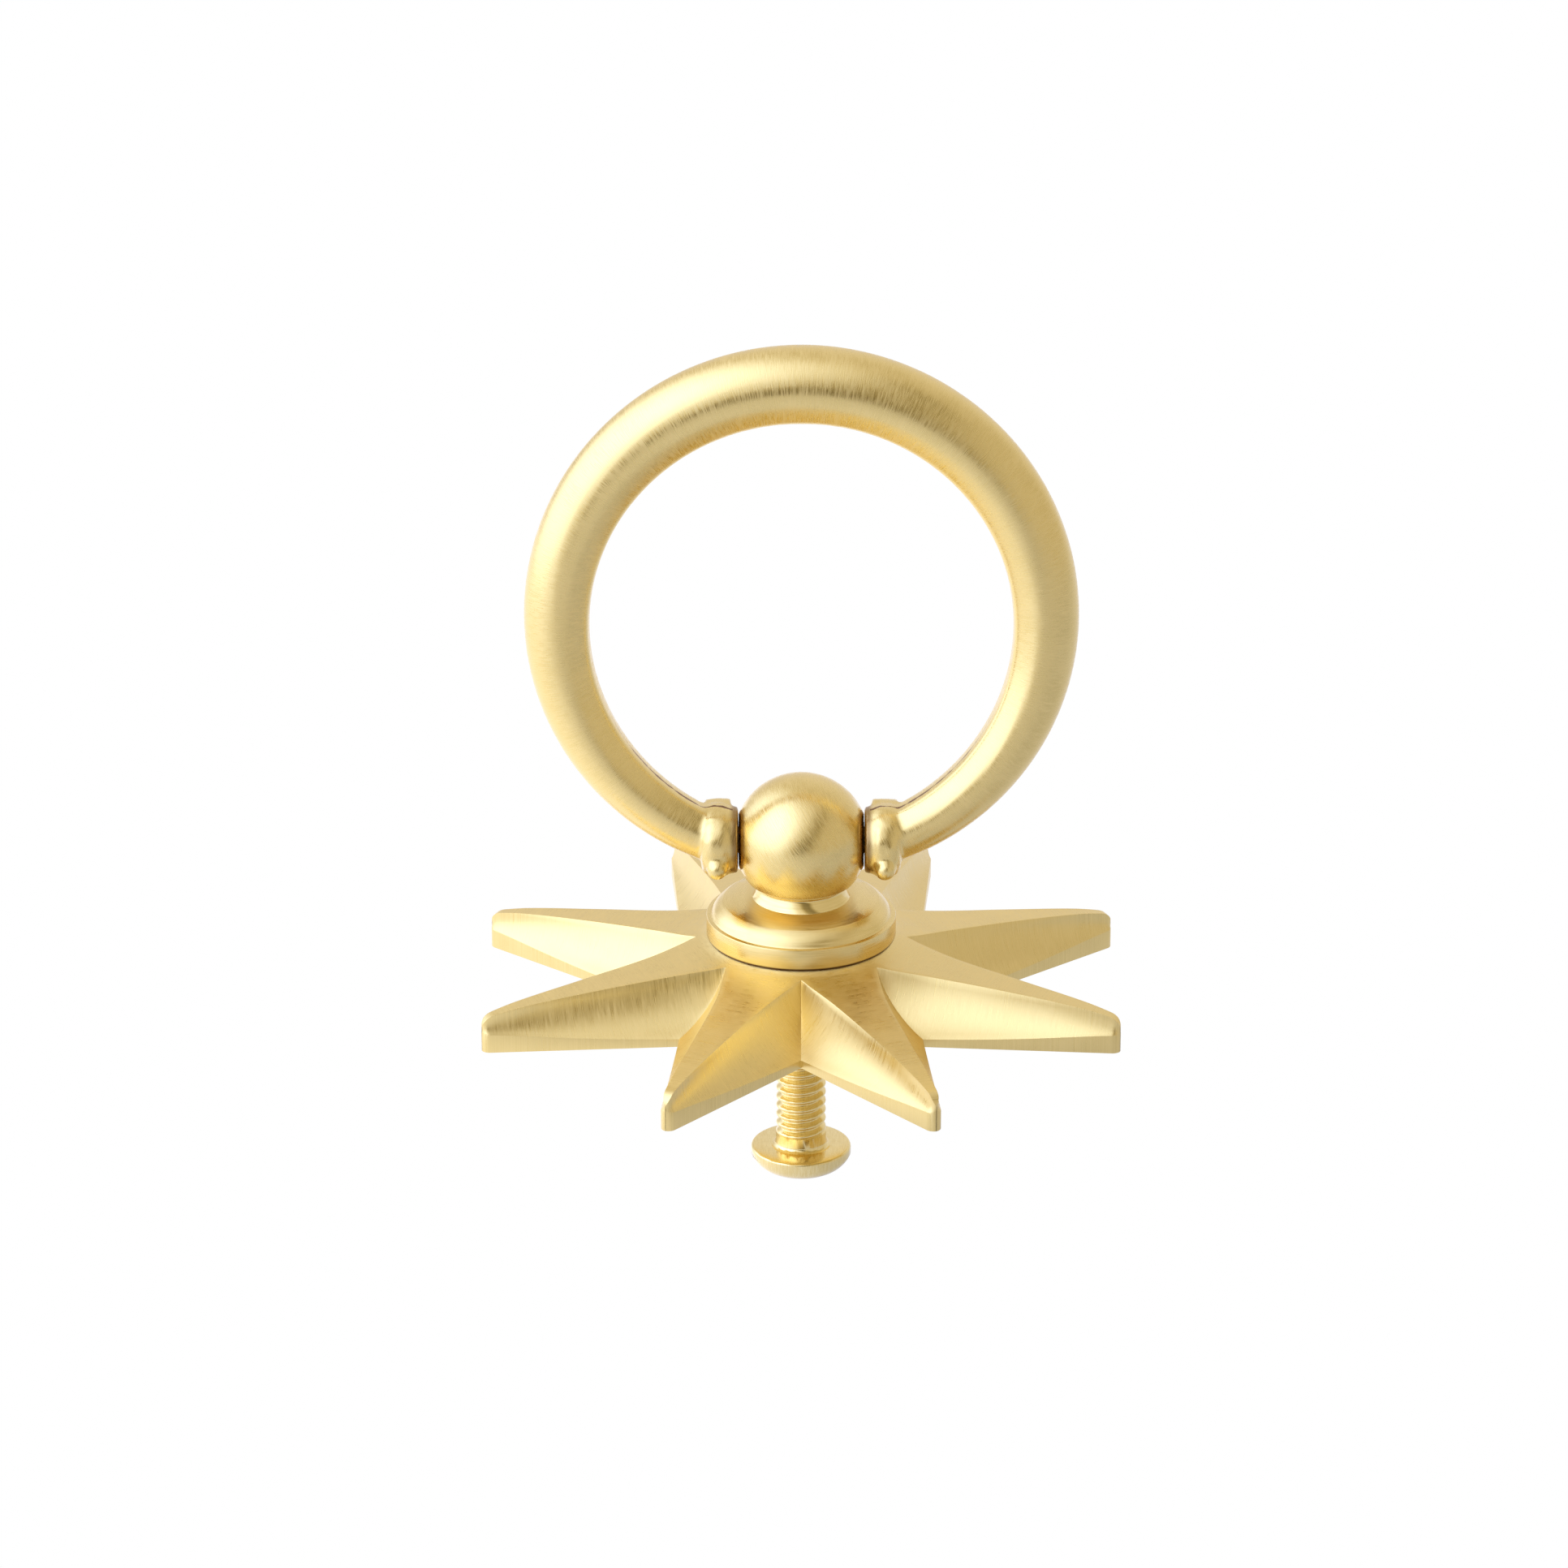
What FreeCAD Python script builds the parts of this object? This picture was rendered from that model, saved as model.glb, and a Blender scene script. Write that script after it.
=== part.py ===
"""Ring pull on a cast star backplate, for a drawer or a cabinet door.

The origin is the middle of the backplate's flat back face, on the screw's axis.
+Z points away from the drawer, and the ring turns about the X direction.
The ring is modelled standing up, leaning a few degrees away from the front.
"""
import FreeCAD, Part
import math
import os

import Sketcher
from FreeCAD import Placement, Rotation, Vector

# Driving sizes in millimetres, with angles in degrees
SIZES = {
    # Star backplate, a casting with eight hollow ground rays
    "ray_count": 8,
    "star_reach": 28.05,
    "notch_reach": 14.0,
    "tip_foot": 0.45,
    "nose_length": 0.45,
    "nose_trim": 0.03,
    "brow_length": 1.0,
    "brow_fall": 0.85,
    "brow_bow": 0.75,
    "hub_radius": 7.65,
    "hub_height": 5.8,
    "skirt_radius": 8.72,
    "skirt_drop": 0.53,
    "screw_clearance": 0.17,
    # The upright band along the foot, and its share of the height at the tip
    "band_height": 0.6,
    "band_share": 0.42,
    "band_power": 4,
    # The radius of a hollow over the width of its face
    "flank_hollow": 1.3,
    "skirt_hollow": 2.9,
    # The ray's crest: share of the way from the hub to the tip, half width and height
    "root_share": -0.13,
    "root_crest": 4.7,
    "root_height": 5.5,
    "shoulder_share": 0.018,
    "shoulder_crest": 3.35,
    "shoulder_height": 5.36,
    "waist_share": 0.238,
    "waist_crest": 2.18,
    "waist_height": 4.8,
    "blade_share": 0.556,
    "blade_crest": 1.28,
    "blade_height": 4.2,
    "point_share": 0.85,
    "point_crest": 0.62,
    "point_height": 3.55,
    "tip_share": 1.0,
    "tip_crest": 0.3,
    "tip_height": 2.97,
    # Ball post, turned from bar
    "rim_radius": 7.78,
    "rim_height": 1.8,
    "rim_break": 0.15,
    "shoulder_radius": 7.4,
    "crown_radius": 6.45,
    "crown_height": 2.95,
    "shoulder_round": 2.2,
    "neck_foot_radius": 3.8,
    "neck_foot_height": 3.4,
    "neck_top_radius": 4.0,
    "neck_hollow": 0.52,
    "pivot_height": 14.1,
    "ball_radius": 5.55,
    "ball_flat": 5.15,
    # Ring with its two ears and pivot pegs, one casting
    "ring_radius": 19.67,
    "ring_offset": 18.64,
    "arm_sweep": 160.0,
    "far_radius": 3.28,
    "arm_radius": 2.18,
    "taper_power": 1.5,
    "crease_angle": 105.0,
    "inner_flat": 32.0,
    "bevel_bow": 1.8,
    "flat_bow": 3.0,
    "ring_lean": 5.0,
    "ear_gap": 0.27,
    "boss_radius": 2.2,
    "cheek_start": 5.85,
    "cheek_thickness": 2.15,
    "cheek_radius": 3.05,
    "cheek_round": 0.45,
    "peg_radius": 1.1,
    "peg_length": 2.2,
    "peg_break": 0.15,
    "peg_clearance": 0.05,
    "heel_radius": 1.55,
    "heel_reach": 2.02,
    "heel_angle": 46.0,
    "lug_radius": 0.93,
    "lug_reach": 2.9,
    "lug_angle": 33.0,
    # Screw, size 8 with 32 threads to the inch, one inch under its head
    "screw_length": 25.4,
    "screw_radius": 2.08,
    "screw_tip_break": 0.35,
    "grip": 13.35,
    "head_radius": 4.15,
    "head_height": 1.95,
    "head_edge": 0.7,
    "head_round": 2.1,
    "head_fillet": 0.45,
    "head_flat": 2.7,
    "thread_clearance": 0.05,
    "hole_spare": 0.5,
    "recess_span": 2.2,
    "recess_wing": 0.5,
    "recess_depth": 1.7,
    "recess_taper": 0.5,
}

# Places along the ring where its section is drawn
RING_STEPS = 8

document = FreeCAD.newDocument("RingPull")


def make_sheet():
    """The sizes, one to a row, each with its name beside it."""
    sheet = document.addObject("Spreadsheet::Sheet", "Sizes")
    for row, (name, value) in enumerate(SIZES.items(), start=1):
        sheet.set(f"A{row}", name)
        sheet.set(f"B{row}", str(value))
        sheet.setAlias(f"B{row}", name)
    document.recompute()


def worked(owner, expression):
    """The number that an expression gives now."""
    return float(owner.evalExpression(expression))


def make_body(label):
    body = document.addObject("PartDesign::Body", label)
    body.Label = label
    return body


def origin_part(body, role):
    """One of the body's own planes or axes."""
    return next(item for item in body.Origin.OriginFeatures if item.Role == role)


def place(item, body, role, across="0", up="0", out="0", turn="0"):
    """Lay an item on a plane of its body, moved in the plane and out of it."""
    item.AttachmentSupport = [(origin_part(body, role), "")]
    item.MapMode = "FlatFace"
    item.AttachmentOffset = Placement(Vector(0, 0, 0), Rotation(Vector(1, 0, 0), worked(item, turn)))
    for axis, expression in (("x", across), ("y", up), ("z", out)):
        if expression != "0":
            item.setExpression(f"AttachmentOffset.Base.{axis}", expression)
    if turn != "0":
        item.setExpression("AttachmentOffset.Rotation.Angle", turn)


def add_sketch(body, name, role, **offsets):
    sketch = body.newObject("Sketcher::SketchObject", name)
    place(sketch, body, role, **offsets)
    return sketch


def bowed_edge(start, end, radius, side):
    """An arc from start to end, which swells to the right of the way for side 1."""
    chord = end - start
    leftward = Vector(-chord.y, chord.x, 0).normalize()
    centre = (start + end) / 2 + leftward * side * math.sqrt(radius**2 - (chord.Length / 2)**2)
    ends = (start, end) if side > 0 else (end, start)
    angles = [math.atan2(point.y - centre.y, point.x - centre.x) for point in ends]
    return Part.ArcOfCircle(Part.Circle(centre, Vector(0, 0, 1), radius), *angles)


def draw_outline(sketch, corners, arcs=None):
    """A closed outline. Corners are pairs of expressions, and arcs gives side and radius by edge."""
    arcs = arcs or {}
    points = [Vector(worked(sketch, x), worked(sketch, y), 0) for x, y in corners]
    first_ends = []
    for index, start in enumerate(points):
        end = points[(index + 1) % len(points)]
        side, radius = arcs.get(index, (1, None))
        if radius:
            sketch.addGeometry(bowed_edge(start, end, worked(sketch, radius), side))
        else:
            sketch.addGeometry(Part.LineSegment(start, end))
        first_ends.append(1 if side > 0 else 2)
    for index, first_end in enumerate(first_ends):
        following = (index + 1) % len(points)
        joint = (index, 3 - first_end, following, first_ends[following])
        sketch.addConstraint(Sketcher.Constraint("Coincident", *joint))
    for index, (x, y) in enumerate(corners):
        corner = (index, first_ends[index])
        fix_corner(sketch, corner, "DistanceX", x, f"x{index}", -2)
        fix_corner(sketch, corner, "DistanceY", y, f"y{index}", -1)
        if index in arcs:
            radius = arcs[index][1]
            place_of = sketch.addConstraint(Sketcher.Constraint("Radius", index, worked(sketch, radius)))
            sketch.renameConstraint(place_of, f"bow{index}")
            sketch.setExpression(f"Constraints.bow{index}", radius)


def fix_corner(sketch, corner, kind, expression, name, axis):
    """Tie a corner to the origin by a size, or to an axis where the size is nought."""
    if expression == "0":
        sketch.addConstraint(Sketcher.Constraint("PointOnObject", *corner, axis))
        return
    distance = Sketcher.Constraint(kind, -1, 1, *corner, worked(sketch, expression))
    sketch.renameConstraint(sketch.addConstraint(distance), name)
    sketch.setExpression(f"Constraints.{name}", expression)


def draw_circle(sketch, x, y, radius):
    centre = Vector(worked(sketch, x), worked(sketch, y), 0)
    sketch.addGeometry(Part.Circle(centre, Vector(0, 0, 1), worked(sketch, radius)))
    fix_corner(sketch, (0, 3), "DistanceX", x, "x0", -2)
    fix_corner(sketch, (0, 3), "DistanceY", y, "y0", -1)
    sketch.renameConstraint(sketch.addConstraint(Sketcher.Constraint("Radius", 0, worked(sketch, radius))), "size")
    sketch.setExpression("Constraints.size", radius)


def add_revolution(body, name, sketch, axis):
    turned = body.newObject("PartDesign::Revolution", name)
    turned.Profile = sketch
    turned.ReferenceAxis = (sketch, [axis])
    turned.Angle = 360
    document.recompute()
    return turned


def add_hole(body, name, sketch, depth=None, backwards=False):
    """Cut a hole, right through where no depth is given, and see that it took metal away."""
    before = body.Shape.Volume
    hole = body.newObject("PartDesign::Pocket", name)
    hole.Profile = sketch
    if depth is None:
        hole.Type = "ThroughAll"
        hole.Midplane = True
    else:
        hole.setExpression("Length", depth)
        hole.Reversed = backwards
    document.recompute()
    if not body.Shape.Volume < before:
        raise RuntimeError(f"{name} cuts nothing")
    return hole


def add_loft(body, kind, name, sketches):
    loft = body.newObject(kind, name)
    loft.Profile = sketches[0]
    loft.Sections = sketches[1:]
    document.recompute()


def reach_of(station):
    """Distance of a station along the ray from the star's middle."""
    return f"(Sizes.hub_radius + (Sizes.star_reach - Sizes.hub_radius) * Sizes.{station}_share)"


def foot_width(reach):
    """Half the ray's width on the back face, straight from the notch to the tip."""
    notch_along = "Sizes.notch_reach * cos(180 / Sizes.ray_count)"
    notch_foot = "Sizes.notch_reach * sin(180 / Sizes.ray_count)"
    spread = f"({notch_foot} - Sizes.tip_foot) / (Sizes.star_reach - {notch_along})"
    return f"Sizes.tip_foot + (Sizes.star_reach - {reach}) * {spread}"


def band_rise(reach, height):
    """Height of the upright band below the hollow, low at the root and about half of the tip."""
    share = f"Sizes.band_share * ({reach} / Sizes.star_reach) ^ Sizes.band_power"
    return f"Sizes.band_height + ({height} - Sizes.band_height) * {share}"


def draw_ray_section(sketch, reach, crest, height):
    """Across a ray: flat foot, upright band, hollow flanks and a narrow flat crest."""
    foot = foot_width(reach)
    band = band_rise(reach, height)
    corners = [
        (f"-({foot})", "0"),
        (foot, "0"),
        (foot, band),
        (crest, height),
        (f"-{crest}", height),
        (f"-({foot})", band),
    ]
    flank = f"sqrt(({foot} - {crest}) ^ 2 + ({height} - ({band})) ^ 2)"
    hollow = f"{flank} * Sizes.flank_hollow"
    draw_outline(sketch, corners, {2: (-1, hollow), 4: (-1, hollow)})


def round_nose(body):
    """Round the ray's end in plan, by cutting what lies outside an arc."""
    start = "Sizes.star_reach - Sizes.nose_length"
    half = foot_width(f"({start})")
    rise = "(Sizes.nose_length - Sizes.nose_trim)"
    beyond = "Sizes.star_reach + Sizes.nose_length"
    aside = f"{half} + Sizes.nose_length"
    corners = [
        (start, f"-({half})"),
        (start, half),
        (start, aside),
        (beyond, aside),
        (beyond, f"-({aside})"),
        (start, f"-({aside})"),
    ]
    outline = add_sketch(body, "NoseOutline", "XY_Plane")
    draw_outline(outline, corners, {0: (1, f"(({half}) ^ 2 + {rise} ^ 2) / (2 * {rise})")})
    add_hole(body, "Nose", outline)


def round_brow(body):
    """Round the ray's end from the side, where its crest meets the upright end."""
    start = "Sizes.star_reach - Sizes.brow_length"
    slope = f"(Sizes.point_height - Sizes.tip_height) / (Sizes.star_reach - {reach_of('point')})"
    crest = f"(Sizes.tip_height + Sizes.brow_length * {slope})"
    low = "(Sizes.tip_height - Sizes.brow_fall)"
    beyond = "Sizes.star_reach + Sizes.brow_length"
    above = f"{crest} + Sizes.brow_length"
    corners = [
        (start, crest),
        ("Sizes.star_reach", low),
        (beyond, low),
        (beyond, above),
        (start, above),
    ]
    outline = add_sketch(body, "BrowOutline", "XZ_Plane")
    bow = f"sqrt(Sizes.brow_length ^ 2 + ({crest} - {low}) ^ 2) * Sizes.brow_bow"
    draw_outline(outline, corners, {0: (-1, bow)})
    add_hole(body, "Brow", outline)


def star_backplate():
    body = make_body("star_backplate")
    body.Placement = Placement(Vector(0, 0, 0), Rotation(Vector(0, 0, 1), 180 / SIZES["ray_count"]))
    body.setExpression("Placement.Rotation.Angle", "180 / Sizes.ray_count")

    sections = []
    for station in ("root", "shoulder", "waist", "blade", "point", "tip"):
        reach = reach_of(station)
        section = add_sketch(body, f"Ray{station.title()}", "YZ_Plane", out=reach)
        draw_ray_section(section, reach, f"Sizes.{station}_crest", f"Sizes.{station}_height")
        sections.append(section)
    document.recompute()
    add_loft(body, "PartDesign::AdditiveLoft", "Ray", sections)

    waste = add_sketch(body, "WasteOutline", "XY_Plane")
    half_pitch = "tan(180 / Sizes.ray_count)"
    corners = [
        ("0", "0"),
        ("Sizes.star_reach", f"Sizes.star_reach * {half_pitch}"),
        ("Sizes.star_reach", "Sizes.star_reach"),
        ("-Sizes.star_reach", "Sizes.star_reach"),
        ("-Sizes.star_reach", "-Sizes.star_reach"),
        ("Sizes.star_reach", "-Sizes.star_reach"),
        ("Sizes.star_reach", f"-Sizes.star_reach * {half_pitch}"),
    ]
    draw_outline(waste, corners)
    add_hole(body, "Wedge", waste)
    round_nose(body)
    round_brow(body)

    rays = body.newObject("PartDesign::PolarPattern", "Rays")
    rays.TransformMode = "Whole shape"
    rays.Axis = (origin_part(body, "Z_Axis"), [""])
    rays.Angle = 360
    rays.setExpression("Occurrences", "Sizes.ray_count")
    body.Tip = rays
    document.recompute()

    hub_profile = add_sketch(body, "HubProfile", "XZ_Plane")
    corners = [
        ("0", "0"),
        ("Sizes.skirt_radius", "0"),
        ("Sizes.skirt_radius", "Sizes.hub_height - Sizes.skirt_drop"),
        ("Sizes.hub_radius", "Sizes.hub_height"),
        ("0", "Sizes.hub_height"),
    ]
    skirt_width = "sqrt((Sizes.skirt_radius - Sizes.hub_radius) ^ 2 + Sizes.skirt_drop ^ 2)"
    draw_outline(hub_profile, corners, {2: (-1, f"{skirt_width} * Sizes.skirt_hollow")})
    add_revolution(body, "Hub", hub_profile, "V_Axis")

    hole_outline = add_sketch(body, "ScrewHoleOutline", "XY_Plane")
    draw_circle(hole_outline, "0", "0", "Sizes.screw_radius + Sizes.screw_clearance")
    add_hole(body, "ScrewHole", hole_outline)
    return body


def ball_post():
    body = make_body("ball_post")
    seat = "Sizes.hub_height"
    rim_top = f"{seat} + Sizes.rim_height"
    neck_foot = f"({seat} + Sizes.neck_foot_height)"
    neck_top = "(Sizes.pivot_height - sqrt(Sizes.ball_radius ^ 2 - Sizes.neck_top_radius ^ 2))"
    corners = [
        ("0", seat),
        ("Sizes.rim_radius - Sizes.rim_break", seat),
        ("Sizes.rim_radius", f"{seat} + Sizes.rim_break"),
        ("Sizes.rim_radius", rim_top),
        ("Sizes.shoulder_radius", rim_top),
        ("Sizes.crown_radius", f"{seat} + Sizes.crown_height"),
        ("Sizes.neck_foot_radius", neck_foot),
        ("Sizes.neck_top_radius", neck_top),
        ("0", "Sizes.pivot_height + Sizes.ball_radius"),
    ]
    neck_width = f"sqrt((Sizes.neck_top_radius - Sizes.neck_foot_radius) ^ 2 + ({neck_top} - {neck_foot}) ^ 2)"
    arcs = {
        4: (1, "Sizes.shoulder_round"),
        6: (-1, f"{neck_width} * Sizes.neck_hollow"),
        7: (1, "Sizes.ball_radius"),
    }
    profile = add_sketch(body, "PostProfile", "XZ_Plane")
    draw_outline(profile, corners, arcs)
    add_revolution(body, "Turning", profile, "V_Axis")

    hole_outline = add_sketch(body, "ScrewHoleOutline", "XY_Plane", out=seat)
    draw_circle(hole_outline, "0", "0", "Sizes.screw_radius + Sizes.thread_clearance")
    depth = f"Sizes.screw_length - Sizes.grip - {seat} + Sizes.hole_spare"
    add_hole(body, "ScrewHole", hole_outline, depth, backwards=True)

    for name, side in (("Flat", 1), ("OtherFlat", -1)):
        flat = add_sketch(body, f"{name}Outline", "YZ_Plane", out=f"{side} * Sizes.ball_flat")
        draw_circle(flat, "0", "Sizes.pivot_height", "Sizes.ball_radius")
        add_hole(body, name, flat, "Sizes.ball_radius", backwards=side > 0)

    bore_outline = add_sketch(body, "PivotBoreOutline", "YZ_Plane")
    draw_circle(bore_outline, "0", "Sizes.pivot_height", "Sizes.peg_radius + Sizes.peg_clearance")
    add_hole(body, "PivotBore", bore_outline)
    return body


def draw_ring_section(sketch, size):
    """Across the ring: round outside, two soft bevels and a narrow, nearly flat inside."""
    corners = []
    for angle in ("Sizes.crease_angle", "(180 - Sizes.inner_flat)"):
        corners.append((f"-{size} * sin({angle})", f"{size} * cos({angle})"))
    for angle in ("(180 - Sizes.inner_flat)", "Sizes.crease_angle"):
        corners.append((f"{size} * sin({angle})", f"{size} * cos({angle})"))
    top = ("0", size)
    bevel = f"{size} * Sizes.bevel_bow"
    inside = f"{size} * Sizes.flat_bow"
    draw_outline(sketch, [*corners, top], {0: (1, bevel), 1: (1, inside), 2: (1, bevel), 3: (1, size), 4: (1, size)})


def draw_ring_line(sketch):
    """The middle line of the ring, from one ear over the far side to the other."""
    centre = Vector(0, worked(sketch, "Sizes.ring_offset"), 0)
    radius = worked(sketch, "Sizes.ring_radius")
    sweep = math.radians(worked(sketch, "Sizes.arm_sweep"))
    circle = Part.Circle(centre, Vector(0, 0, 1), radius)
    sketch.addGeometry(Part.ArcOfCircle(circle, math.pi / 2 - sweep, math.pi / 2 + sweep))
    fix_corner(sketch, (0, 3), "DistanceX", "0", "centre_x", -2)
    fix_corner(sketch, (0, 3), "DistanceY", "Sizes.ring_offset", "centre_y", -1)
    for end, sign in ((1, ""), (2, "-")):
        fix_corner(sketch, (0, end), "DistanceX", f"{sign}Sizes.ring_radius * sin(Sizes.arm_sweep)", f"x{end}", -2)
    height = "Sizes.ring_offset + Sizes.ring_radius * cos(Sizes.arm_sweep)"
    fix_corner(sketch, (0, 1), "DistanceY", height, "y1", -1)


def draw_ear(sketch):
    """Half an ear, to be turned about the pivot line: peg, boss and round edged cheek."""
    boss = "(Sizes.ball_flat + Sizes.ear_gap)"
    peg_end = f"({boss} - Sizes.peg_length)"
    cheek_end = "(Sizes.cheek_start + Sizes.cheek_thickness)"
    corners = [
        (peg_end, "0"),
        (cheek_end, "0"),
        (cheek_end, "Sizes.cheek_radius - Sizes.cheek_round"),
        (f"{cheek_end} - Sizes.cheek_round", "Sizes.cheek_radius"),
        ("Sizes.cheek_start + Sizes.cheek_round", "Sizes.cheek_radius"),
        ("Sizes.cheek_start", "Sizes.cheek_radius - Sizes.cheek_round"),
        (boss, "Sizes.boss_radius"),
        (boss, "Sizes.peg_radius"),
        (f"{peg_end} + Sizes.peg_break", "Sizes.peg_radius"),
        (peg_end, "Sizes.peg_radius - Sizes.peg_break"),
    ]
    draw_outline(sketch, corners, {2: (1, "Sizes.cheek_round"), 4: (1, "Sizes.cheek_round")})


def ring_handle():
    body = make_body("ring_handle")
    body.Placement = Placement(Vector(0, 0, SIZES["pivot_height"]), Rotation(Vector(-1, 0, 0), SIZES["ring_lean"]))
    body.setExpression("Placement.Base.z", "Sizes.pivot_height")
    body.setExpression("Placement.Rotation.Angle", "Sizes.ring_lean")

    line = add_sketch(body, "RingLine", "XZ_Plane")
    draw_ring_line(line)
    sections = []
    for step in range(RING_STEPS + 1):
        share = 1 - 2 * step / RING_STEPS
        angle = f"Sizes.arm_sweep * {share}"
        taper = f"{abs(share)} ^ Sizes.taper_power"
        size = f"(Sizes.far_radius - (Sizes.far_radius - Sizes.arm_radius) * {taper})"
        up = f"Sizes.ring_offset + Sizes.ring_radius * cos({angle})"
        out = f"Sizes.ring_radius * sin({angle})"
        section = add_sketch(body, f"RingSection{step}", "YZ_Plane", up=up, out=out, turn=angle)
        draw_ring_section(section, size)
        sections.append(section)
    document.recompute()
    hoop = body.newObject("PartDesign::AdditivePipe", "Hoop")
    hoop.Spine = (line, [])
    hoop.Profile = sections[0]
    hoop.Sections = sections[1:]
    hoop.Transformation = "Multisection"
    document.recompute()

    ear_profile = add_sketch(body, "EarProfile", "XZ_Plane")
    draw_ear(ear_profile)
    ear = add_revolution(body, "Ear", ear_profile, "H_Axis")
    twin = body.newObject("PartDesign::Mirrored", "OtherEar")
    twin.Originals = [ear]
    twin.MirrorPlane = (origin_part(body, "YZ_Plane"), [""])
    body.Tip = twin
    document.recompute()

    backward = "Sizes.heel_reach * cos(Sizes.heel_angle)"
    upward = "Sizes.heel_reach * sin(Sizes.heel_angle)"
    cheek_flat_end = "(Sizes.cheek_start + Sizes.cheek_thickness - Sizes.cheek_round)"
    for name, start in (("Heel", "Sizes.cheek_start + Sizes.cheek_round"), ("OtherHeel", f"-{cheek_flat_end}")):
        heel = body.newObject("PartDesign::AdditiveCylinder", name)
        heel.setExpression("Radius", "Sizes.heel_radius")
        heel.setExpression("Height", "Sizes.cheek_thickness - 2 * Sizes.cheek_round")
        place(heel, body, "YZ_Plane", across=backward, up=upward, out=start)
        document.recompute()

    cheek_middle = "(Sizes.cheek_start + Sizes.cheek_thickness / 2)"
    forward = "-Sizes.lug_reach * cos(Sizes.lug_angle)"
    downward = "-Sizes.lug_reach * sin(Sizes.lug_angle)"
    for name, side in (("Lug", ""), ("OtherLug", "-")):
        lug = body.newObject("PartDesign::AdditiveSphere", name)
        lug.setExpression("Radius", "Sizes.lug_radius")
        place(lug, body, "YZ_Plane", across=forward, up=downward, out=f"{side}{cheek_middle}")
        document.recompute()
    return body


def draw_cross(sketch, span, wing):
    """A cross, from half its span and half a wing's width."""
    quarter = [(span, f"-{wing}"), (span, wing), (wing, wing), (wing, span), (f"-{wing}", span), (f"-{wing}", wing)]
    opposite = [(x.removeprefix("-") if x[0] == "-" else f"-{x}", y.removeprefix("-") if y[0] == "-" else f"-{y}")
                for x, y in quarter]
    draw_outline(sketch, quarter + opposite)


def mounting_screw():
    body = make_body("mounting_screw")
    bearing = "-Sizes.grip"
    tip = "(Sizes.screw_length - Sizes.grip)"
    corners = [
        ("0", f"{bearing} - Sizes.head_height"),
        ("Sizes.head_flat", f"{bearing} - Sizes.head_height"),
        ("Sizes.head_radius", f"{bearing} - Sizes.head_edge"),
        ("Sizes.head_radius", bearing),
        ("Sizes.screw_radius + Sizes.head_fillet", bearing),
        ("Sizes.screw_radius", f"{bearing} + Sizes.head_fillet"),
        ("Sizes.screw_radius", f"{tip} - Sizes.screw_tip_break"),
        ("Sizes.screw_radius - Sizes.screw_tip_break", tip),
        ("0", tip),
    ]
    profile = add_sketch(body, "ScrewProfile", "XZ_Plane")
    draw_outline(profile, corners, {1: (1, "Sizes.head_round"), 4: (-1, "Sizes.head_fillet")})
    add_revolution(body, "Turning", profile, "V_Axis")

    solid = body.Shape.Volume
    top = add_sketch(body, "RecessTop", "XY_Plane", out=f"{bearing} - Sizes.head_height")
    draw_cross(top, "Sizes.recess_span", "Sizes.recess_wing")
    floor = add_sketch(body, "RecessFloor", "XY_Plane", out=f"{bearing} - Sizes.head_height + Sizes.recess_depth")
    draw_cross(floor, "(Sizes.recess_span * Sizes.recess_taper)", "(Sizes.recess_wing * Sizes.recess_taper)")
    add_loft(body, "PartDesign::SubtractiveLoft", "Recess", [top, floor])
    if not body.Shape.Volume < solid:
        raise RuntimeError("Recess cuts nothing")
    return body


def check(parts):
    """Stop here if anything failed, before a file is written."""
    for item in document.Objects:
        if "Invalid" in item.State or "Error" in item.State:
            raise RuntimeError(f"{item.Label} did not build")
    for part in parts:
        if part.Shape.isNull() or not part.Shape.isValid():
            raise RuntimeError(f"{part.Label} has no sound shape")


def main():
    make_sheet()
    parts = [star_backplate(), ball_post(), ring_handle(), mounting_screw()]
    document.recompute()
    check(parts)
    os.makedirs("parts", exist_ok=True)
    for part in parts:
        part.Shape.exportStep(f"parts/{part.Label}.step")
        box = part.Shape.BoundBox
        print(f"{part.Label}: {part.Shape.Volume / 1000:.2f} cm3, {len(part.Shape.Solids)} solid,"
              f" x {box.XMin:.2f} to {box.XMax:.2f}, y {box.YMin:.2f} to {box.YMax:.2f},"
              f" z {box.ZMin:.2f} to {box.ZMax:.2f}")


main()
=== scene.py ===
# %% [markdown]
# # Ring pull on a star backplate
# The pull is cast and turned brass: a star with eight rays that are ground hollow, a ball post on its middle,
# a tapered ring that hinges on the ball, and a machine screw that comes through the drawer front from behind.
# Its solids and its hinge come from the frame. This lesson gives it soft edges, a thread, a brushed finish,
# its light and its camera.

import math

import bpy
from mathutils import Matrix, Vector


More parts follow.
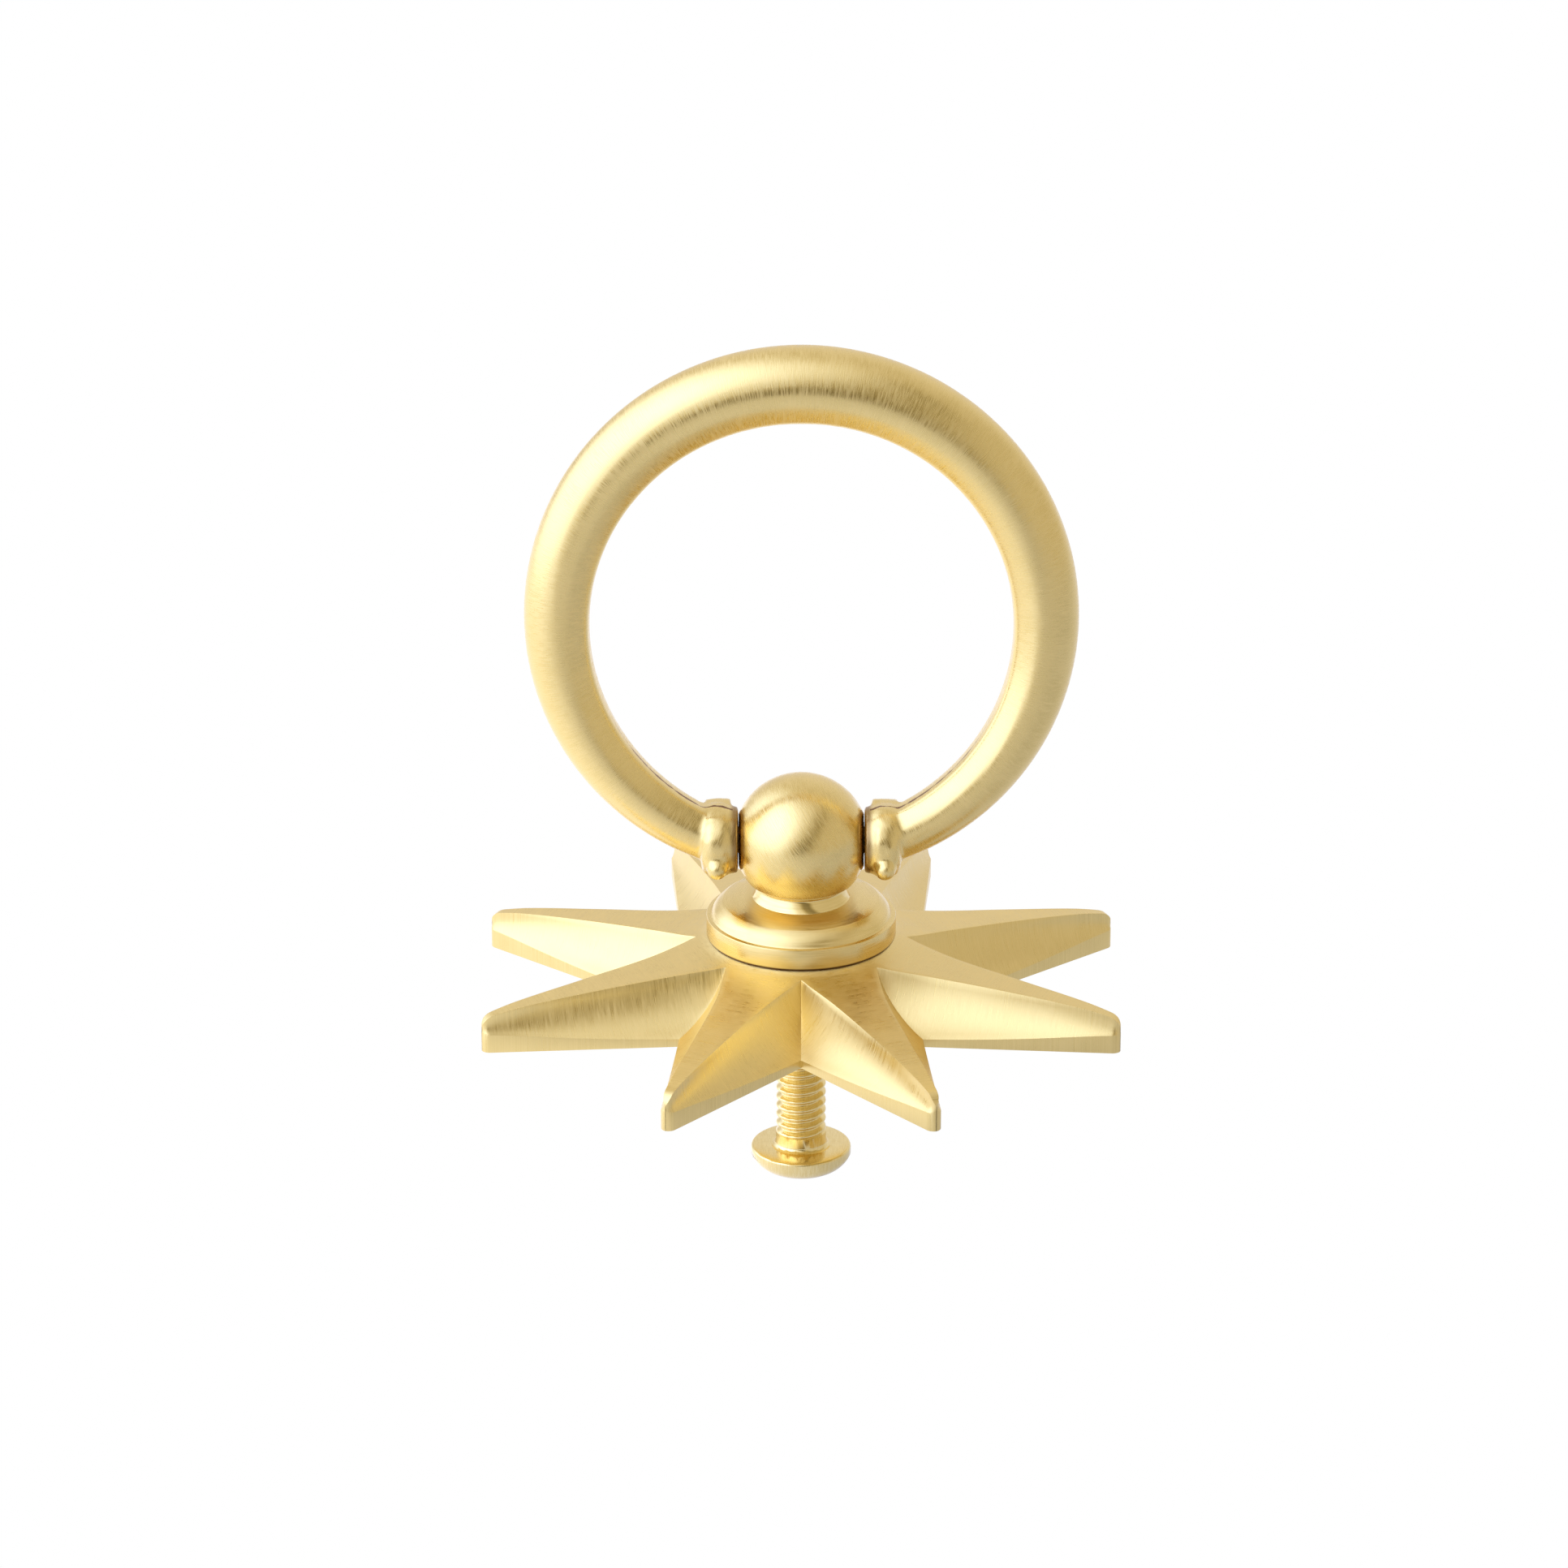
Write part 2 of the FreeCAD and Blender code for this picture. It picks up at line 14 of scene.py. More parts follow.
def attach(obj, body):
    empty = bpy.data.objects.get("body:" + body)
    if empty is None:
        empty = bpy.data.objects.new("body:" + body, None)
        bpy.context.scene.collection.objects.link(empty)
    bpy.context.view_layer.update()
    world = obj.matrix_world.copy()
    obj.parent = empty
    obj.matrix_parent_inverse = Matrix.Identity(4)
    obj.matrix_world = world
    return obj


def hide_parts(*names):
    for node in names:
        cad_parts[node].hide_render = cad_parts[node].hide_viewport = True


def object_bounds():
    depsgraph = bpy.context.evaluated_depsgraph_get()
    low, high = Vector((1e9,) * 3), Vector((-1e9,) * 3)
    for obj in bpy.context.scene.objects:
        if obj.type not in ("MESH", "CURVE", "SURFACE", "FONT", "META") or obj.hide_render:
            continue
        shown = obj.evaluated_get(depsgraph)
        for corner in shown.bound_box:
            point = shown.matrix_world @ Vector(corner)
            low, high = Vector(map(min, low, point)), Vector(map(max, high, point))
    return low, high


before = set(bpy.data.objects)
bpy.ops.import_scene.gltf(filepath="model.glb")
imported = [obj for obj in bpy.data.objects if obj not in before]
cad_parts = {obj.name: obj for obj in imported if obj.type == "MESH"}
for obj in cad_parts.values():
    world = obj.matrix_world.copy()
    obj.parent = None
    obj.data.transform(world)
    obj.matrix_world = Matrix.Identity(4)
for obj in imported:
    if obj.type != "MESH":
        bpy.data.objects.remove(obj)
cad_box = [[float(value) for value in corner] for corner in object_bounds()]
MM = 0.001
print("CAD box in millimetres:", [[round(value / MM, 2) for value in corner] for corner in cad_box])

# %% [markdown]
# ## Camera
# The photograph was taken from far off with a long lens, from a little above the star.
# A long lens keeps the ring and the star nearly free of perspective, so it comes first:
# everything else is judged through it.

# %% Long lens, 24 degrees above the star
CAMERA_DISTANCE = 601 * MM
CAMERA_ABOVE = math.radians(24.28)
CAMERA_DIP = math.radians(22.605)
CAMERA_TURN = math.radians(0.1475)
SENSOR_WIDTH = 36.0
LENS_OVER_WIDTH = 4.642
bpy.ops.object.camera_add(
    location=(0.0, -CAMERA_DISTANCE * math.cos(CAMERA_ABOVE), CAMERA_DISTANCE * math.sin(CAMERA_ABOVE)),
    rotation=(math.pi / 2 - CAMERA_DIP, 0.0, CAMERA_TURN),
)
camera = bpy.context.active_object
camera.name = "photo_camera"
camera.data.sensor_width = SENSOR_WIDTH
camera.data.lens = LENS_OVER_WIDTH * SENSOR_WIDTH
bpy.context.scene.camera = camera
print("lens in millimetres:", round(camera.data.lens, 1))

# %% [markdown]
# ## Working in edit mode
# An operator acts on whatever is selected, so each step starts with nothing selected.
# These short helpers choose points by a rule on their place, which is what a click does by hand.

# %% Helpers for selecting and finishing
MERGE_DISTANCE = 0.002 * MM
HAIR = 0.001 * MM


def start_clean():
    """Leave edit mode and select nothing."""
    if bpy.context.object and bpy.context.object.mode != "OBJECT":
        bpy.ops.object.mode_set(mode="OBJECT")
    bpy.ops.object.select_all(action="DESELECT")


def take_up(piece):
    """Select one piece alone and make it the active one."""
    start_clean()
    piece.select_set(True)
    bpy.context.view_layer.objects.active = piece


def choose_points(piece, rule):
    """Select the points whose place passes the rule, and stay in edit mode."""
    bpy.ops.object.mode_set(mode="EDIT")
    bpy.ops.mesh.select_mode(type="VERT")
    bpy.ops.mesh.select_all(action="DESELECT")
    bpy.ops.object.mode_set(mode="OBJECT")
    for point in piece.data.vertices:
        point.select = rule(point.co)
    bpy.ops.object.mode_set(mode="EDIT")


def fill_open_rims():
    """Close every open rim of the mesh that is being edited."""
    bpy.ops.mesh.select_mode(type="EDGE")
    bpy.ops.mesh.select_all(action="DESELECT")
    bpy.ops.mesh.select_non_manifold(extend=False, use_wire=False, use_multi_face=False, use_non_contiguous=False)
    bpy.ops.mesh.fill_holes(sides=0)


def merge_and_turn_out():
    """Merge doubled points of the active piece and point every face outwards."""
    bpy.ops.object.mode_set(mode="EDIT")
    bpy.ops.mesh.select_all(action="SELECT")
    bpy.ops.mesh.remove_doubles(threshold=MERGE_DISTANCE)
    bpy.ops.mesh.normals_make_consistent(inside=False)
    bpy.ops.object.mode_set(mode="OBJECT")


def join_pieces(pieces, name):
    """Join pieces into the first one, with its place kept in its mesh."""
    start_clean()
    for piece in pieces:
        piece.select_set(True)
    bpy.context.view_layer.objects.active = pieces[0]
    bpy.ops.object.join()
    bpy.ops.object.transform_apply(location=True, rotation=True, scale=True)
    joined = bpy.context.active_object
    joined.name = name
    return joined


def smooth_but_crisp(piece, angle):
    """Shade smoothly, but keep a line where two faces meet at more than an angle."""
    take_up(piece)
    bpy.ops.object.shade_smooth_by_angle(angle=math.radians(angle))
    print(piece.name, "has", len(piece.data.polygons), "faces")


print("points closer than", MERGE_DISTANCE / MM, "mm are merged")

# %% [markdown]
# ## Star backplate
# The real star is a sand casting, ground hollow on both flanks of every ray.
# The rays are all alike, so half of one is modelled as a sheet of rows and columns. Each row runs from the ray's
# middle line over its flat crest to the edge, and on down the hollow flank to the foot.
# A grid is added and its points are set by the same few sizes that shape the casting, because a hollow
# that narrows and sinks at once has no operator of its own.

# %% Sizes of the star
RAY_COUNT = 8
HALF_SECTOR = math.pi / RAY_COUNT
STAR_REACH = 28.03 * MM
NOTCH_REACH = 14.0 * MM
TIP_FOOT = 0.45 * MM
HUB_RADIUS = 7.65 * MM
HUB_HEIGHT = 5.8 * MM
HUB_EASE_END = 9.5 * MM
SKIRT_RADIUS = 8.72 * MM
SKIRT_DROP = 0.53 * MM
SKIRT_STEEPNESS = 1.35
SKIRT_END = 1.6
TOP_BLEND = 0.16 * MM
BAND_HEIGHT = 0.6 * MM
BAND_SHARE = 0.42
BAND_POWER = 4
BAND_LIMIT = 0.93
FLANK_HOLLOW = 1.3
HOLE_RADIUS = 2.25 * MM
NOSE_LENGTH = 0.45 * MM
BROW_LENGTH = 1.0 * MM
BROW_FALL = 0.85 * MM
BROW_POWER = 2.2
HALF_WIDTH, HEIGHT = 1, 2
# Distance from the middle, half width and height of the crest
CREST = [
    (8.01 * MM, 3.318 * MM, 5.36 * MM),
    (12.5 * MM, 2.18 * MM, 4.8 * MM),
    (19.0 * MM, 1.28 * MM, 4.2 * MM),
    (25.0 * MM, 0.62 * MM, 3.55 * MM),
    (STAR_REACH, 0.3 * MM, 2.97 * MM),
]
CREST_START = CREST[0][0]
NOTCH_LINE = NOTCH_REACH * math.cos(HALF_SECTOR)
print("the star reaches", STAR_REACH / MM, "mm from its middle")


# %% Crest, ray's end and foot at any distance from the middle
def on_crest(reach, column):
    """A smooth value along the crest, with each slope taken from the neighbours."""
    last = len(CREST) - 2
    place = min(max(0, sum(reach >= row[0] for row in CREST) - 1), last)

    def slope(index):
        before, after = CREST[max(index - 1, 0)], CREST[min(index + 1, last + 1)]
        return (after[column] - before[column]) / (after[0] - before[0])

    low, high = CREST[place], CREST[place + 1]
    width = high[0] - low[0]
    if reach < low[0]:
        return low[column] + (reach - low[0]) * slope(place)
    t = (reach - low[0]) / width
    return (
        (2 * t**3 - 3 * t**2 + 1) * low[column]
        + (t**3 - 2 * t**2 + t) * width * slope(place)
        + (3 * t**2 - 2 * t**3) * high[column]
        + (t**3 - t**2) * width * slope(place + 1)
    )


def brow(reach, height):
    """The crest's height once the ray's end is rounded from the side."""
    share = max(0.0, (reach - STAR_REACH + BROW_LENGTH) / BROW_LENGTH)
    return height - BROW_FALL * (1 - math.sqrt(max(0.0, 1 - share**BROW_POWER)))


def nose(reach):
    """How much of the ray's width is left where its end is rounded in plan."""
    share = max(0.0, (reach - STAR_REACH + NOSE_LENGTH) / NOSE_LENGTH)
    return math.sqrt(max(0.0, 1 - share**2))


def foot_half(reach):
    """Half the ray's width at its foot, which narrows evenly from the notch to the tip."""
    spread = (NOTCH_REACH * math.sin(HALF_SECTOR) - TIP_FOOT) / (STAR_REACH - NOTCH_LINE)
    return TIP_FOOT + (STAR_REACH - reach) * spread


print("half width of the foot at the notch:", round(foot_half(NOTCH_LINE) / MM, 2), "mm")


# %% Flat top and hollow flank
def crest_half(reach):
    """Half the width of the flat top. Near the hub the tops of all the rays meet."""
    sector = reach * math.tan(HALF_SECTOR)
    if reach < CREST_START:
        return sector
    return min(on_crest(reach, HALF_WIDTH), sector) * nose(reach)


def top_height(x, y):
    """Height of the flat top: the crest, and near the collar the skirt that rises to it."""
    crest = brow(x, on_crest(x, HEIGHT))
    share = (math.hypot(x, y) - HUB_RADIUS) / (SKIRT_RADIUS - HUB_RADIUS)
    skirt = 0.0
    if share < SKIRT_END:
        skirt = HUB_HEIGHT - SKIRT_DROP * (SKIRT_STEEPNESS * share - (SKIRT_STEEPNESS - 1) * share**2)
    return (crest + skirt + math.hypot(crest - skirt, TOP_BLEND)) / 2


def flank_point(reach, edge, share):
    """A point on the hollow flank. Share 0 is the crest's edge and share 1 the foot or the valley."""
    crest = Vector((edge.y, edge.z))
    band = (on_crest(reach, HEIGHT) - BAND_HEIGHT) * BAND_SHARE * (reach / STAR_REACH) ** BAND_POWER
    foot = Vector((foot_half(reach) * nose(reach), min(BAND_HEIGHT + band, BAND_LIMIT * edge.z)))
    chord = foot - crest
    radius = chord.length * FLANK_HOLLOW
    rise = math.sqrt(radius**2 - (chord.length / 2) ** 2)
    centre = (crest + foot) / 2 + Vector((-chord.y, chord.x)).normalized() * rise

    def on_arc(part):
        straight = crest.lerp(foot, part) - centre
        return centre + straight.normalized() * radius

    valley = reach * math.tan(HALF_SECTOR)
    limit = 1.0
    if foot.x > valley:
        limit = last_before(lambda part: on_arc(part).x > valley)
    y, z = on_arc(share * limit)
    return Vector((reach, y, z))


def last_before(passed):
    """The share from 0 to 1 at which a test turns true, found by halving."""
    low, high = 0.0, 1.0
    for _ in range(40):
        middle = (low + high) / 2
        if passed(middle):
            high = middle
        else:
            low = middle
    return (low + high) / 2


print("height of the top beside the collar:", round(top_height(HUB_RADIUS, 0) / MM, 2), "mm")

# %% Rows of the sheet
TOP_COLUMNS = 5
FLANK_COLUMNS = 8
HUB_ROWS = 4
VALLEY_ROWS = 9
RAY_ROWS = 16
TIP_ROWS = 8
TIP_SHARE = 0.995


def sheet_row(edge_reach):
    """One row of the sheet, from the ray's middle line to its foot."""
    inner = HUB_RADIUS * math.cos(HALF_SECTOR)
    ease = min(1.0, (edge_reach - inner) / (HUB_EASE_END - inner))
    middle_reach = edge_reach + (HUB_RADIUS - inner) * (1 - ease * ease * (3 - 2 * ease))
    half = crest_half(edge_reach)
    row = []
    for column in range(TOP_COLUMNS + 1):
        share = column / TOP_COLUMNS
        x = middle_reach + (edge_reach - middle_reach) * share**2
        y = half * share
        row.append(Vector((x, y, top_height(x, y))))
    edge = row[TOP_COLUMNS]
    for column in range(1, FLANK_COLUMNS + 1):
        on_flank = edge_reach > CREST_START
        row.append(flank_point(edge_reach, edge, column / FLANK_COLUMNS) if on_flank else edge.copy())
    return row


def row_places():
    """Where the rows cross the crest's edge: close together at the hub, the notch and the tip."""
    inner = HUB_RADIUS * math.cos(HALF_SECTOR)
    brow_start = STAR_REACH - BROW_LENGTH
    places = [inner + (CREST_START - inner) * step / HUB_ROWS for step in range(HUB_ROWS)]
    places += [CREST_START + (NOTCH_LINE - CREST_START) * step / VALLEY_ROWS for step in range(VALLEY_ROWS)]
    places += [NOTCH_LINE + (brow_start - NOTCH_LINE) * step / RAY_ROWS for step in range(RAY_ROWS)]
    for step in range(TIP_ROWS + 1):
        places.append(brow_start + BROW_LENGTH * math.sin(math.pi / 2 * step / TIP_ROWS) * TIP_SHARE)
    return places


rows = [sheet_row(place) for place in row_places()]
print("half a ray:", len(rows), "rows of", len(rows[0]), "points")

# %% Lay the grid over half a ray
row_steps, column_steps = len(rows) - 1, len(rows[0]) - 1
start_clean()
bpy.ops.mesh.primitive_grid_add(x_subdivisions=row_steps, y_subdivisions=column_steps, size=1.0)
star = bpy.context.active_object
star.name = "star_rays"
for point in star.data.vertices:
    row = round((point.co.x + 0.5) * row_steps)
    column = round((point.co.y + 0.5) * column_steps)
    point.co = rows[row][column]
for corner in star.data.loops:
    place = star.data.vertices[corner.vertex_index].co
    star.data.uv_layers[0].data[corner.index].uv = (place.x / MM, place.y / MM)
print("the sheet has", len(star.data.polygons), "faces, and its UV map keeps each point's place on the ray")

# %% [markdown]
# ### From half a ray to the casting
# The half is mirrored, turned to its place and copied round with the spin tool, which copies without moving
# when dupli is on. Then the inner rim is drawn in to the screw hole, and the whole sheet is extruded and flattened
# onto the back plane, which gives the upright band, the hole's wall and the flat back in one go.
# The grinding left no sharp edge, so a small bevel rounds them all.

# %% Mirror the half and copy it round
mirror = star.modifiers.new("other_half", "MIRROR")
mirror.use_axis = (False, True, False)
mirror.merge_threshold = MERGE_DISTANCE
bpy.ops.object.modifier_apply(modifier=mirror.name)
star.data.transform(Matrix.Rotation(HALF_SECTOR, 4, "Z"))
bpy.ops.object.mode_set(mode="EDIT")
bpy.ops.mesh.select_all(action="SELECT")
full_turn = 2 * math.pi
bpy.ops.mesh.spin(
    steps=RAY_COUNT - 1, dupli=True, angle=full_turn * (RAY_COUNT - 1) / RAY_COUNT, center=(0, 0, 0), axis=(0, 0, 1)
)
merge_and_turn_out()
print("eight rays:", len(star.data.polygons), "faces")

# %% Draw in the hole, close the back and soften the edges
RIM_TOLERANCE = 0.02 * MM
EDGE_ROUND = 0.22 * MM
EDGE_ANGLE = math.radians(24)
choose_points(star, lambda place: abs(place.xy.length - HUB_RADIUS) < RIM_TOLERANCE and place.z > HUB_HEIGHT / 2)
hole_scale = HOLE_RADIUS / HUB_RADIUS
bpy.ops.mesh.select_mode(type="EDGE")
bpy.ops.mesh.extrude_edges_move()
bpy.ops.transform.resize(value=(hole_scale, hole_scale, 1.0), center_override=(0, 0, 0))
bpy.ops.mesh.select_mode(type="FACE")
bpy.ops.mesh.select_all(action="SELECT")
bpy.ops.mesh.extrude_region_move()
bpy.ops.transform.resize(value=(1.0, 1.0, 0.0), center_override=(0, 0, 0))
bpy.ops.object.mode_set(mode="OBJECT")
merge_and_turn_out()

soften = star.modifiers.new("ground_edges", "BEVEL")
soften.limit_method = "ANGLE"
soften.angle_limit = EDGE_ANGLE
soften.width = EDGE_ROUND
soften.segments = 3
soften.use_clamp_overlap = True
bpy.ops.object.modifier_apply(modifier=soften.name)
smooth_but_crisp(star, 35)
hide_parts("star_backplate")
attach(star, "base")

# %% [markdown]
# ## Ball post
# The post is turned from bar on a lathe, so its outline is drawn once and spun round the axis: the blind hole for
# the screw, the rim, the round shoulder, the shallow cone, the neck that flares into it and the ball. The two flats
# beside the ring's ears are sawn off afterwards with bisect, and the bore for the pegs is a boolean cut.

# %% Outline of the post, as distance from the axis and height, both in millimetres
BALL_RADIUS = 5.55
BALL_HEIGHT = 14.1
BALL_FLAT = 5.15
BALL_START = math.radians(-38.0)
BALL_STEPS = 44
SHOULDER_FOOT = (7.4, 7.63)
SHOULDER_TOP = (6.45, 8.75)
SHOULDER_BOW = (0.099, 0.0845)
SHOULDER_STEPS = 12
screw_hole = [(0.0, 18.33), (2.13, 18.33), (2.13, 5.8)]
rim = [(7.66, 5.8), (7.74, 5.83), (7.78, 5.92), (7.78, 7.5), (7.75, 7.57), (7.68, 7.6), (7.44, 7.6), SHOULDER_FOOT]
shoulder = []
for step in range(1, SHOULDER_STEPS + 1):
    share = step / SHOULDER_STEPS
    bow = math.sin(math.pi * share)
    across = SHOULDER_FOOT[0] + (SHOULDER_TOP[0] - SHOULDER_FOOT[0]) * share + SHOULDER_BOW[0] * bow
    up = SHOULDER_FOOT[1] + (SHOULDER_TOP[1] - SHOULDER_FOOT[1]) * share + SHOULDER_BOW[1] * bow
    shoulder.append((across, up))
cone = [(6.38, 8.79), (5.1, 8.99), (4.08, 9.13), (4.0, 9.15)]
flared_neck = [(3.96, 9.2), (3.78, 9.6), (3.64, 9.95), (3.6, 10.06), (3.6, 10.12), (3.64, 10.18), (3.8, 10.29)]
ball = [(4.1, 10.48)]
for step in range(BALL_STEPS + 1):
    angle = BALL_START + (math.pi / 2 - BALL_START) * step / BALL_STEPS
    ball.append((BALL_RADIUS * math.cos(angle), BALL_HEIGHT + BALL_RADIUS * math.sin(angle)))
post_outline = screw_hole + rim + shoulder + cone + flared_neck + ball
print("the post's outline has", len(post_outline), "points")

# %% Spin the outline
start_clean()
bpy.ops.mesh.primitive_circle_add(vertices=len(post_outline), radius=1.0)
post = bpy.context.active_object
post.name = "turned_post"
for point, (across, up) in zip(post.data.vertices, post_outline):
    point.co = (max(across, 0.0) * MM, 0, up * MM)
choose_points(post, lambda place: place.x < HAIR)
bpy.ops.mesh.delete(type="EDGE_FACE")
bpy.ops.mesh.select_all(action="SELECT")
bpy.ops.mesh.spin(steps=144, angle=full_turn, center=(0, 0, 0), axis=(0, 0, 1))
merge_and_turn_out()
print("turned:", len(post.data.polygons), "faces")

# %% Saw the flats
ABOVE_COLLAR = 10 * MM
for side in (1, -1):
    bpy.ops.object.mode_set(mode="EDIT")
    bpy.ops.mesh.select_all(action="SELECT")
    bpy.ops.mesh.bisect(plane_co=(side * BALL_FLAT * MM, 0, BALL_HEIGHT * MM), plane_no=(side, 0, 0.0))
    bpy.ops.object.mode_set(mode="OBJECT")
    past_flat = BALL_FLAT * MM + MERGE_DISTANCE
    choose_points(post, lambda place: side * place.x > past_flat and place.z > ABOVE_COLLAR)
    bpy.ops.mesh.delete(type="VERT")
    fill_open_rims()
    bpy.ops.object.mode_set(mode="OBJECT")
merge_and_turn_out()
print("sawn to", 2 * BALL_FLAT, "mm across the flats")

# %% Bore the ball
BORE_RADIUS = 1.15 * MM
BORE_LENGTH = 12 * MM
start_clean()
bpy.ops.mesh.primitive_cylinder_add(
    vertices=64, radius=BORE_RADIUS, depth=BORE_LENGTH, location=(0, 0, BALL_HEIGHT * MM), rotation=(0, math.pi / 2, 0)
)
drill = bpy.context.active_object
bpy.ops.object.transform_apply(location=True, rotation=True, scale=True)
take_up(post)
bore = post.modifiers.new("peg_bore", "BOOLEAN")
bore.operation = "DIFFERENCE"
bore.solver = "EXACT"
bore.object = drill
bpy.ops.object.modifier_apply(modifier=bore.name)
take_up(drill)
bpy.ops.object.delete()
smooth_but_crisp(post, 32)
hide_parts("ball_post")
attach(post, "base")

# %% [markdown]
# ## Ring
# The ring is one casting with its two ears. The hoop starts as a torus, and each point's distance from the hoop's
# middle line is set by where it lies round the ring and round the section: thick at the far side, slim at the ears,
# round outside and gently flattened inside, where the fingers pull.

# %% Sizes of the hoop
PIVOT_HEIGHT = BALL_HEIGHT * MM
RING_LEAN = math.radians(5.0)
RING_RADIUS = 19.67 * MM
RING_OFFSET = 18.64 * MM
ARM_SWEEP = math.radians(160)
ARM_END_MARGIN = 0.02
FAR_RADIUS = 3.28 * MM
ARM_RADIUS = 2.18 * MM
TAPER_POWER = 1.5
CREASE_ANGLE = math.radians(105)
INNER_FLAT = math.radians(32)
INNER_FLATNESS = 0.75
SIDE_FLATNESS = 0.55


def section_reach(turn):
    """Distance from the section's middle to its outline, as a share of the round outside."""
    turn = abs(turn)
    if turn <= CREASE_ANGLE:
        return 1.0
    flat_edge = math.pi - INNER_FLAT
    if turn >= flat_edge:
        return INNER_FLATNESS * math.cos(INNER_FLAT) / math.cos(math.pi - turn) + 1 - INNER_FLATNESS
    middle, half = (CREASE_ANGLE + flat_edge) / 2, (flat_edge - CREASE_ANGLE) / 2
    return SIDE_FLATNESS * math.cos(half) / math.cos(turn - middle) + 1 - SIDE_FLATNESS


print("on its inner side the section is", round(section_reach(math.pi), 2), "of its round radius")

# %% Shape the hoop from a torus
start_clean()
bpy.ops.mesh.primitive_torus_add(
    major_radius=RING_RADIUS, minor_radius=FAR_RADIUS, major_segments=240, minor_segments=60, rotation=(math.pi / 2, 0, 0)
)
hoop = bpy.context.active_object
bpy.ops.object.transform_apply(location=True, rotation=True, scale=True)
for point in hoop.data.vertices:
    angle = math.atan2(point.co.x, point.co.z)
    outward = Vector((math.sin(angle), 0, math.cos(angle)))
    middle = outward * RING_RADIUS
    across = point.co - middle
    turn = math.atan2(across.y, across.dot(outward))
    share = min(1.0, abs(angle) / ARM_SWEEP)
    size = FAR_RADIUS - (FAR_RADIUS - ARM_RADIUS) * share**TAPER_POWER
    point.co = middle + across.normalized() * size * section_reach(turn)
    point.co.z += RING_OFFSET
choose_points(hoop, lambda place: abs(math.atan2(place.x, place.z - RING_OFFSET)) > ARM_SWEEP + ARM_END_MARGIN)
bpy.ops.mesh.delete(type="VERT")
fill_open_rims()
merge_and_turn_out()
print("hoop:", len(hoop.data.vertices), "points")

# %% [markdown]
# ### Ears
# Each ear is a thick round cheek with a low boss that faces the ball and a small lug at its lower front.
# They are plain turned shapes that overlap the arm, as a pattern maker glues a pattern up from parts.

# %% Sizes of an ear
EAR_FACE = 5.17 * MM
BOSS_RADIUS = 2.7 * MM
CHEEK_START = 5.55 * MM
CHEEK_THICKNESS = 2.6 * MM
CHEEK_MIDDLE = CHEEK_START + CHEEK_THICKNESS / 2
CHEEK_RADIUS = 3.05 * MM
CHEEK_ROUND = 1.0 * MM
BOSS_STEP = 0.2 * MM
PEG_RADIUS = 1.1 * MM
PEG_END = 3.22 * MM
HEEL_RADIUS = 1.55 * MM
HEEL_REACH = 2.02 * MM
HEEL_ANGLE = math.radians(46)
LUG_RADIUS = 0.86 * MM
LUG_REACH = 3.15 * MM
LUG_ANGLE = math.radians(33)
print("an ear is", round((CHEEK_START + CHEEK_THICKNESS - EAR_FACE) / MM, 2), "mm thick")


# %% Cheek, boss, lug and heel
def add_ear(side):
    """The parts of one ear. Side is 1 for the right and -1 for the left."""
    start_clean()
    turned = (0, side * math.pi / 2, 0)
    cheek_place = side * CHEEK_MIDDLE
    bpy.ops.mesh.primitive_cylinder_add(
        vertices=72, radius=CHEEK_RADIUS, depth=CHEEK_THICKNESS, location=(cheek_place, 0, 0), rotation=turned
    )
    cheek = bpy.context.active_object
    bpy.ops.object.mode_set(mode="EDIT")
    bpy.ops.mesh.select_all(action="DESELECT")
    bpy.ops.mesh.edges_select_sharp(sharpness=math.radians(60))
    bpy.ops.mesh.bevel(offset=CHEEK_ROUND, segments=6)
    bpy.ops.object.mode_set(mode="OBJECT")
    boss_depth = CHEEK_START - EAR_FACE + CHEEK_ROUND
    bpy.ops.mesh.primitive_cone_add(
        vertices=72, radius1=BOSS_RADIUS, radius2=CHEEK_RADIUS - BOSS_STEP, depth=boss_depth,
        location=(side * (EAR_FACE + boss_depth / 2), 0, 0), rotation=turned,
    )
    boss = bpy.context.active_object
    bpy.ops.mesh.primitive_uv_sphere_add(
        segments=48, ring_count=32, radius=LUG_RADIUS,
        location=(cheek_place, -LUG_REACH * math.cos(LUG_ANGLE), -LUG_REACH * math.sin(LUG_ANGLE)),
    )
    lug = bpy.context.active_object
    bpy.ops.mesh.primitive_cylinder_add(
        vertices=64, radius=HEEL_RADIUS, depth=CHEEK_THICKNESS - 0.5 * CHEEK_ROUND, rotation=turned,
        location=(cheek_place, HEEL_REACH * math.cos(HEEL_ANGLE), HEEL_REACH * math.sin(HEEL_ANGLE)),
    )
    return [cheek, boss, lug, bpy.context.active_object]


casting = join_pieces([hoop, *add_ear(1), *add_ear(-1)], "ring_bow")
print("the pattern has", len(casting.data.polygons), "faces")

# %% [markdown]
# ### One skin
# The voxel remesh melts the overlapping shapes into one skin, as the molten brass does, and a little smoothing
# gives the small fillets of a casting. Cloudy lumps make the ears as uneven as the sand left them, and fade out
# along the arms. The pegs are turned true, so they join after that.

# %% Melt the parts together and smooth them
CASTING_GRAIN = 0.18 * MM
casting.data.remesh_voxel_size = CASTING_GRAIN
bpy.ops.object.voxel_remesh()
smoothing = casting.modifiers.new("cast_fillets", "SMOOTH")
smoothing.factor = 0.5
smoothing.iterations = 13
bpy.ops.object.modifier_apply(modifier=smoothing.name)
print("one skin:", len(casting.data.polygons), "faces")

